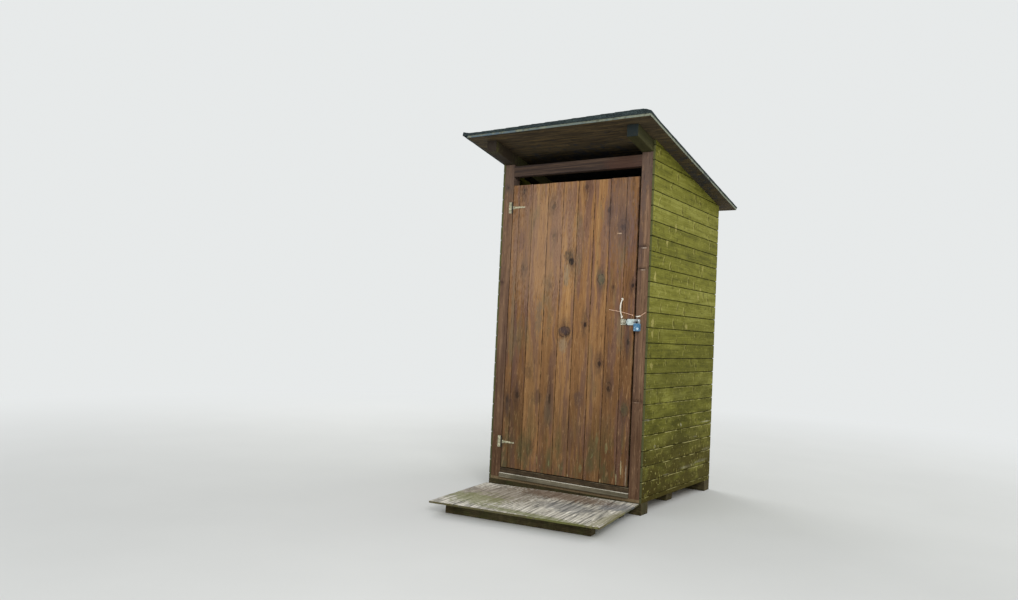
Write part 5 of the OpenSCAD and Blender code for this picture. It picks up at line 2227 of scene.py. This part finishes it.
@dataclass
class Hinges:
    """Two T hinges, each a plate on the post and a strap on the door."""

    heights: Pair = (1.841, 0.314)
    pin_x: float = -0.4535
    pin_y: float = -0.5695
    thick: float = 0.003
    knuckle: float = 0.0045
    pin: float = 0.0025
    eased: float = 0.0004
    half: float = 0.0365
    strap_half: float = 0.0108
    gap: float = 0.0005
    plate_x: float = -0.4715
    bridge_x: float = -0.4573
    strap_long: float = 0.097
    tip: float = 0.006
    plate_screw: float = 0.0034
    strap_screw: float = 0.003
    plate_screws_up: Point = (-0.026, 0.0, 0.026)
    strap_screws_x: Point = (-0.437, -0.405, -0.3705)

    def build(self) -> None:
        """Builds both hinges and their screws."""
        plates, straps, fixed, turning = Forge(), Forge(), Forge(), Forge()
        post_screws, door_screws = [], []
        front = FRONT - self.thick - 0.0002
        for z in self.heights:
            self.plate(plates, fixed, z)
            self.strap(straps, turning, z)
            post_screws += [((self.plate_x, front, z + up), (0, -1, 0)) for up in self.plate_screws_up]
            door_screws += [((x, front, z), (0, -1, 0)) for x in self.strap_screws_x]
        for forge, name, finish, body, nodes in (
            (plates, "hinge_plates", HINGE, "cabin", ("top_hinge_plate", "bottom_hinge_plate")),
            (straps, "hinge_straps", HINGE, "door", ("top_hinge_strap", "bottom_hinge_strap")),
            (fixed, "hinge_fixed_knuckles", DARK_STEEL, "cabin", ()),
            (turning, "hinge_turning_knuckles", DARK_STEEL, "door", ()),
        ):
            settle(forge.finish(name, finish), body, "hinge_metal", *nodes)
        for name, spots, radius, body in (
            ("hinge_plate_screws", post_screws, self.plate_screw, "cabin"),
            ("hinge_strap_screws", door_screws, self.strap_screw, "door"),
        ):
            settle(FIXINGS.drive(name, Fixing.SCREW, spots, radius, HINGE), body, "hinge_metal")

    def plate(self, forge: Forge, knuckles: Forge, z: float) -> None:
        """Adds the plate on the post, its two knuckles and the pin.

        Args:
            forge: What gathers the plates.
            knuckles: What gathers the knuckles and pins.
            z: The hinge's height.
        """
        near = FRONT - self.thick
        forge.plate(rounded(0.011, self.half, 0.003), near, FRONT, centre=(self.plate_x, z))
        for sign in (-1, 1):
            low, high = sorted((z + sign * (self.strap_half + self.gap), z + sign * self.half))
            knuckles.pin((self.pin_x, self.pin_y), low, high, self.knuckle, self.eased)
            bridge = rounded(0.0048, (high - low) / 2, 0.0003, 1)
            forge.plate(bridge, near, FRONT - 0.0001, centre=(self.bridge_x, (low + high) / 2), bevel=0.0)
        knuckles.pin((self.pin_x, self.pin_y), z - self.half, z + self.half, self.pin)

    def strap(self, forge: Forge, knuckles: Forge, z: float) -> None:
        """Adds the tapering strap on the door with its knuckle.

        Args:
            forge: What gathers the straps.
            knuckles: What gathers the knuckles.
            z: The hinge's height.
        """
        root, half = self.pin_x + 0.001, self.strap_half
        tip = self.pin_x + self.strap_long - self.tip
        upper = [(tip, 0.0042), (self.pin_x + 0.022, 0.0062), (root + 0.004, half), (root, half)]
        turns = [math.pi * step / 10 for step in range(1, 10)]
        outline = [(x, z - up) for x, up in reversed(upper)]
        outline += [(tip + self.tip * math.sin(turn), z - 0.0042 * math.cos(turn)) for turn in turns]
        outline += [(x, z + up) for x, up in upper]
        forge.plate(outline, FRONT - self.thick, FRONT - SEAT)
        knuckles.pin((self.pin_x, self.pin_y), z - half, z + half, self.knuckle, self.eased)


@dataclass
class Latch:
    """The hasp, its staple and the padlock in the wire eye."""

    z: float = 1.117
    pin_x: float = 0.402
    pin_y: float = -0.57075
    knuckle: float = 0.004
    eased: float = 0.0004
    pin: float = 0.002
    clear: float = 0.0015
    thick: float = 0.0025
    half: float = 0.018
    base_wide: float = 0.041
    leaf_knuckle: float = 0.009
    gap: float = 0.0003
    staple_x: float = 0.464
    staple_half: float = 0.004
    staple_wire: float = 0.0015
    slot: Pair = (0.0105, 0.0065)
    eye_half: float = 0.013
    eye_wire: float = 0.002
    eye_out: float = 0.0163
    flap_front: float = -0.57475
    screw: float = 0.0028
    screws_x: Pair = (0.3695, 0.3865)
    screws_up: Pair = (-0.0105, 0.0105)
    shackle_span: float = 0.025
    shackle_wire: float = 0.003

    def build(self) -> None:
        """Builds the latch."""
        self.base()
        self.flap()
        self.staple()
        self.padlock()

    def base(self) -> None:
        """Builds the plate on the door with its screws."""
        forge, barrel = Forge(), Forge()
        near = FRONT - self.thick
        edge = self.pin_x - self.knuckle - self.clear
        left = self.pin_x - self.base_wide
        middle = ((edge + left) / 2, self.z)
        forge.plate(rounded((edge - left) / 2, self.half, 0.004), near, FRONT - SEAT, centre=middle)
        for sign in (-1, 1):
            low, high = sorted((self.z + sign * (self.leaf_knuckle + self.gap), self.z + sign * self.half))
            barrel.pin((self.pin_x, self.pin_y), low, high, self.knuckle, self.eased)
            bridge = rounded(0.0035, (high - low) / 2, 0.0003, 1)
            forge.plate(bridge, near, FRONT - 0.0001, centre=(edge + 0.0025, (low + high) / 2), bevel=0.0)
        barrel.pin((self.pin_x, self.pin_y), self.z - self.half, self.z + self.half, self.pin)
        settle(barrel.finish("hasp_fixed_knuckles", DARK_STEEL), "door", "hasp_metal")
        settle(forge.finish("hasp_base", HASP_BASE), "door", "hasp_metal", "hasp_plate")
        corners = product(self.screws_x, self.screws_up)
        spots = [((x, near - 0.0002, self.z + up), (0, -1, 0)) for x, up in corners]
        screws = FIXINGS.drive("hasp_screws", Fixing.SCREW, spots, self.screw, NAIL_STEEL)
        settle(screws, "door", "hasp_metal")

    def flap(self) -> None:
        """Builds the slotted flap with its wire eye."""
        forge, wire = Forge(), Forge()
        near, rear = self.flap_front, self.flap_front + self.thick
        root = self.pin_x + self.knuckle + self.clear
        end = self.staple_x + self.slot[0] + 0.015
        middle = (root + end) / 2
        slot = [(x + self.staple_x - middle, z) for x, z in rounded(*self.slot, 0.0035)]
        forge.plate(rounded((end - root) / 2, self.half, 0.005), near, rear, slot, (middle, self.z))
        reach = root + 0.001
        bridge = rounded((reach - self.pin_x) / 2, self.leaf_knuckle, 0.0003, 1)
        forge.plate(bridge, near, rear, centre=((reach + self.pin_x) / 2, self.z), bevel=0.0)
        low, high = self.z - self.leaf_knuckle, self.z + self.leaf_knuckle
        wire.pin((self.pin_x, self.pin_y), low, high, self.knuckle, self.eased)
        arc = near - self.eye_out + self.eye_half
        eye = hoop((self.staple_x, arc, self.z), self.eye_half, rear - 0.0006 - arc, (0, -1, 0), 16)
        wire.tube(eye, self.eye_wire, 14)
        settle(forge.finish("hasp_leaf", HASP), "flap", "hasp_metal", "hasp_flap")
        settle(wire.finish("hasp_eye", DARK_STEEL), "flap", "hasp_metal")

    def staple(self) -> None:
        """Builds the wire staple in the post."""
        forge = Forge()
        arc = self.flap_front + 0.00075 + self.staple_wire + self.staple_half
        path = hoop((self.staple_x, arc, self.z), self.staple_half, FRONT - arc, (0, -1, 0), 12)
        forge.tube(path, self.staple_wire, 12)
        settle(forge.finish("latch_staple", DARK_STEEL), "cabin", "hasp_metal", "hasp_staple")

    def padlock(self) -> None:
        """Builds the padlock's case, core and shackle."""
        low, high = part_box("padlock_body")
        x, y, z = (low + high) / 2
        half = (high - low) / 2
        legs = (self.staple_x, self.staple_x + self.shackle_span)
        case, core, bow = Forge(), Forge(), Forge()
        case.plate(rounded(half.x, half.z, 0.006, 6), low.y, high.y, centre=(x, z), bevel=0.0022)
        collar = [(0, -0.0005), (0.0046, -0.0005), (0.0046, 0.0), (0.0042, 0.00035), (0, 0.00035)]
        for leg in legs:
            case.lathe(collar, Matrix.Translation((leg, y, high.z)), 20)
        settle(case.finish("padlock_case", LOCK_BLUE), "flap", "lock_paint", "padlock_body")
        drum = [(0, -0.0004), (0.0062, -0.0004), (0.0062, 0.0004), (0.0058, 0.0006), (0, 0.0006)]
        core.lathe(drum, facing((x, y, low.z + 0.0006), (0, 0, -1)))
        settle(core.finish("padlock_core", BRIGHT), "flap", "lock_steel")
        rise = self.z + 0.005
        foot = rise - high.z + 0.0004
        path = hoop((sum(legs) / 2, y, rise), self.shackle_span / 2, foot, (0, 0, 1), 18)
        bow.tube(path, self.shackle_wire, 18)
        settle(bow.finish("padlock_bow", BRIGHT), "flap", "lock_steel", "padlock_shackle")


@dataclass(frozen=True)
class Cord:
    """A three-strand cord: its slot, finish, radius, twist, steps along, sides, far end and stiffness."""

    slot: str
    finish: Finish
    radius: float
    twist: float
    step: float
    sides: int
    far_end: str
    stiffness: str

    def lay(
        self, names: tuple[str, str, str], body: str, points: Sequence[Vector], hang: str,
        forge: Forge, tie: Finish,
    ) -> Object:
        """Lays the cord along a path, and settles and reports it with its knots.

        Args:
            names: The names of the cord, of the node that it stands for and of its knots.
            body: The body that it rides on.
            points: The path.
            hang: How it lies; not used.
            forge: What gathered the knots.
            tie: The knots' finish.

        Returns:
            The cord.
        """
        name, node, knots_name = names
        path = [tuple(point) for point in points]
        mesh = bpy.data.meshes.new(name + "_path")
        mesh.from_pydata(path, [(i, i + 1) for i in range(len(path) - 1)], [])
        values = {"Radius": self.radius, "Twist_length": self.twist, "Step": self.step, "Sides": self.sides}
        cord = run_tree(name, mesh, TREES.laid_rope, Finish=self.finish.material, **values)
        settle(cord, body, self.slot, node)
        knots = forge.finish(knots_name, tie, 3.0)
        settle(knots, body, self.slot)
        sum((b - a).length for a, b in zip(points, points[1:]))
        return cord


@dataclass
class Ropework:
    """The rope handle and the two lengths of twine."""

    x: float = 0.369
    low: float = 1.146
    high: float = 1.253
    bow: float = 0.029
    rope: Cord = Cord("rope", ROPE, 0.004, 0.024, 0.0012, 8, "object", "medium")
    twine: Cord = Cord("twine", TWINE, 0.002, 0.008, 0.0015, 6, "knot", "limp")
    twine_y: float = -0.5673
    door: tuple[Pair, ...] = ((0.282, 1.188), (0.345, 1.179), (0.385, 1.171), (0.437, 1.158))
    post: tuple[Pair, ...] = ((0.464, 1.150), (0.486, 1.155), (0.518, 1.175))

    def build(self) -> None:
        """Builds the ropework."""
        self.handle()
        (x, z), (post_x, post_z) = self.door[-1], self.post[0]
        forge = Forge()
        self.knot(forge, (x, FRONT - 0.0043, z), 0.0041, 0.0013, 0.4)
        self.line("door_twine", "door", self.door, forge, TWINE)
        forge = Forge()
        self.knot(forge, (post_x, FRONT - 0.0043, post_z), 0.0041, 0.0013, 0.4)
        for number in range(3):
            place = (post_x + 0.006 + 0.007 * number, FRONT - 0.0045, post_z + 0.001 + 0.0015 * number)
            self.knot(forge, place, 0.0055, 0.0012, 1.1 * number)
        self.line("post_twine", "cabin", self.post, forge, ROPE)

    @staticmethod
    def knot(forge: Forge, centre: Point, reach: float, thick: float, phase: float) -> None:
        """Adds a small tight knot that fits in a ball.

        Args:
            forge: What gathers it.
            centre: Its middle.
            reach: The ball's radius.
            thick: The cord's radius.
            phase: How far it is turned.
        """
        path = []
        for step in range(72):
            turn = 2 * math.pi * step / 72
            x = math.sin(turn + phase) + 2 * math.sin(2 * turn + phase)
            z = math.cos(turn) - 2 * math.cos(2 * turn)
            path.append(Vector(centre) + (reach - thick) / 3.1 * Vector((x, -math.sin(3 * turn) * 0.9, z)))
        forge.tube(path, thick, 10, closed=True)

    def handle(self) -> None:
        """Builds the rope that bows out of the door, with a knot at each end."""
        span = self.high - self.low
        arc = span * span / (8 * self.bow) + self.bow / 2
        middle_z, centre_y = (self.low + self.high) / 2, FRONT - self.bow + arc
        reach = math.asin(span / 2 / arc)
        points = []
        for step in range(33):
            angle = reach * (1 - 2 * step / 32)
            y, z = centre_y - arc * math.cos(angle), middle_z + arc * math.sin(angle)
            points.append(Vector((self.x, y, z)))
        forge = Forge()
        for number, z in enumerate((self.low, self.high)):
            self.knot(forge, (self.x, FRONT - 0.0058, z), 0.0078, 0.0023, number * 1.3)
        names = ("rope_grip", "rope_handle", "rope_knots")
        grip = self.rope.lay(names, "door", points, "hanging", forge, ROPE)
        for face in grip.data.polygons:
            face.use_smooth = True

    def line(self, node: str, body: str, corners: Sequence[Pair], forge: Forge, tie: Finish) -> None:
        """Builds one length of twine.

        Args:
            node: The node that it stands for.
            body: The body that it rides on.
            corners: Its corners in the XZ plane.
            forge: What gathered its knots.
            tie: The knots' finish.
        """
        points = []
        for (x, z), (next_x, next_z) in zip(corners, corners[1:]):
            for step in range(8):
                here = (x + (next_x - x) * step / 8, self.twine_y, z + (next_z - z) * step / 8)
                points.append(Vector(here))
        points.append(Vector((corners[-1][0], self.twine_y, corners[-1][1])))
        self.twine.lay((node + "_line", node, node + "_knot"), body, points, "taut", forge, tie)


@dataclass
class Step:
    """The loose step: a weathered sheet on two bearers."""

    corner: Pair = (0.53, -0.5653)
    turn: float = math.radians(8.2)
    wide: float = 1.0
    deep: float = 0.695
    top: float = 0.07
    thick: float = 0.012
    bearer: float = 0.07

    def at(self, x: float, y: float, z: float) -> Vector:
        """Takes a place on the step to a point."""
        placed = Matrix.Translation((*self.corner, 0.0)) @ Matrix.Rotation(self.turn, 4, "Z")
        return placed @ Vector((x, y, z))

    @staticmethod
    def warp(u: float, v: float, t: float) -> Point:
        """Frays the rim and lets the sheet sag between its bearers.

        Args:
            u: The unit place along.
            v: The unit place across.
            t: The unit place through.

        Returns:
            The offset there.
        """
        fray = 0.004 * (noise.noise(Vector((u * 17.0, v * 17.0, 4.0))) + 0.55)
        sag = -0.003 * max(0.0, noise.noise(Vector((u * 3.0, v * 3.0, 1.0))) + 0.3)
        x, y = (-fray * math.copysign(1, part) if abs(part) > 0.499 else 0.0 for part in (u, v))
        return x, y, sag if t > 0 else 0.0

    def build(self) -> None:
        """Builds the step."""
        under = self.top - self.thick
        spans = ((-self.wide, 0.0), (-self.deep, 0.0), (under, self.top))
        sheet = slab("step_sheet", self.at, spans, (48, 34), STEP_SHEET, self.warp, 0.0016)
        settle(sheet, "cabin", "weathered_wood", "step_deck")
        run = tuple(self.at(1, 0, 0) - self.at(0, 0, 0))
        size = (self.wide - 2 * self.bearer, self.bearer, under)
        for node, y, seed in (
            ("step_front_bearer", -self.deep + 1.5 * self.bearer, 83),
            ("step_rear_bearer", -1.5 * self.bearer, 84),
        ):
            stick = Stick(tuple(self.at(-self.wide / 2, y, under / 2)), size, run, (0, 0, 1))
            piece = saw(node + "_timber", [stick], BEARER_WOOD, 10, 0.0, 0.003, seed)
            settle(piece, "cabin", "weathered_wood", node)


@dataclass
class Studio:
    """The floor, the lights and the camera."""

    place: Point = (2.4324, -4.8361, 1.0166)
    yaw: float = math.radians(34.005)
    pitch: float = math.radians(2.412)
    roll: float = math.radians(2.77)
    lens: float = 27.876
    half: float = 40.0
    aim: Point = (0.0, 0.0, 1.1)

    def build(self) -> None:
        """Sets up the studio."""
        self.floor()
        self.surround()
        for name, place, size, power in (
            ("key", (5.0, -6.2, 4.4), 3.4, 330.0),
            ("fill", (-6.0, 3.5, 5.0), 5.0, 230.0),
            ("back", (4.0, 6.5, 5.0), 5.0, 170.0),
        ):
            lamp = bpy.data.lights.new(name, "AREA")
            lamp.shape, lamp.size, lamp.energy = "SQUARE", size, power
            new_object(name, lamp).matrix_world = facing(place, Vector(self.aim) - Vector(place), "-Z")
        self.camera()

    @staticmethod
    def in_sight(w: Wiring) -> Flow:
        """Gives 1 on the rays that show the surround: the camera's and those that metal passes on.

        Args:
            w: The tree's wiring.

        Returns:
            1 on those rays and 0 on others.
        """
        rays = {ray.socket.name: ray for ray in w.outputs(w.add("ShaderNodeLightPath"))}
        passed_on = w.math("MAXIMUM", rays["Is Glossy Ray"], rays["Is Transmission Ray"])
        return w.math("MAXIMUM", rays["Is Camera Ray"], passed_on)

    def floor(self) -> None:
        """Lays a plain pale floor that fades into the surround."""
        half = self.half
        corners = [(-half, -half, 0), (half, -half, 0), (half, half, 0), (-half, half, 0)]
        mesh = bpy.data.meshes.new("floor")
        mesh.from_pydata(corners, [], [(0, 1, 2, 3)])
        material, w, shader = new_material("floor_paint", Specular_IOR_Level=0.2)
        place = w.place()
        cloud = w.noise(place, 1.4, 3.0)
        colour = w.mix(cloud, (206, 207, 204), (214, 215, 212))
        put(w, shader, colour, cloud * 0.1 + 0.75, w.noise(place, 60.0, 3.0), 0.0004)
        reach = w.add("ShaderNodeVectorMath", {0: place}, out="Value", operation="LENGTH")
        glow = w.add("ShaderNodeEmission", {"Color": SURROUND, "Strength": 1.0})
        feeds = {0: w.band(reach, 2.4, 7.5) * self.in_sight(w), 1: Flow(w, shader.outputs[0]), 2: glow}
        w.feed(w.add("ShaderNodeMixShader", feeds), w.tree.nodes["Material Output"].inputs["Surface"])
        mesh.materials.append(material)
        new_object("studio_floor", mesh)

    def surround(self) -> None:
        """Adds an even surround that is a little dimmer as a light than it looks."""
        world = bpy.data.worlds.new("studio")
        bpy.context.scene.world = world
        world.use_nodes = True
        world.node_tree.nodes.clear()
        w = Wiring(world.node_tree)
        seen = w.add("ShaderNodeBackground", {"Color": SURROUND, "Strength": 1.0})
        lit = w.add("ShaderNodeBackground", {"Color": (0.96, 0.98, 1.0, 1.0), "Strength": 0.62})
        mixed = w.add("ShaderNodeMixShader", {0: self.in_sight(w), 1: lit, 2: seen})
        w.feed(mixed, w.tree.nodes.new("ShaderNodeOutputWorld").inputs["Surface"])

    def camera(self) -> None:
        """Stands the camera where the photograph was taken from."""
        level = Vector((math.cos(self.yaw), math.sin(self.yaw), 0.0))
        flat = Vector((-math.sin(self.yaw), math.cos(self.yaw), 0.0))
        ahead = flat * math.cos(self.pitch) + Vector((0.0, 0.0, math.sin(self.pitch)))
        upright = level.cross(ahead)
        right = math.cos(self.roll) * level + math.sin(self.roll) * upright
        up = -math.sin(self.roll) * level + math.cos(self.roll) * upright
        camera = bpy.data.cameras.new("camera")
        camera.lens, camera.sensor_width = self.lens, 36.0
        camera.clip_start, camera.clip_end = 0.05, 200.0
        thing = new_object("camera", camera)
        turned = Matrix((right, up, -ahead)).transposed().to_4x4()
        thing.matrix_world = Matrix.Translation(self.place) @ turned
        bpy.context.scene.camera = thing


def main() -> None:
    """Builds the outhouse and its studio."""
    logging.basicConfig(level=logging.INFO, format="%(name)s: %(message)s")
    bpy.context.scene.view_settings.view_transform = "Standard"
    for part in (Studio(), Base(), Frame(), Walls(), Roof(), Door(), Hinges(), Latch(), Ropework(), Step()):
        log.info("building %s", type(part).__name__)
        part.build()
    for master in FIXINGS.masters.values():
        bpy.data.objects.remove(master)


if __name__ == "__main__":
    main()
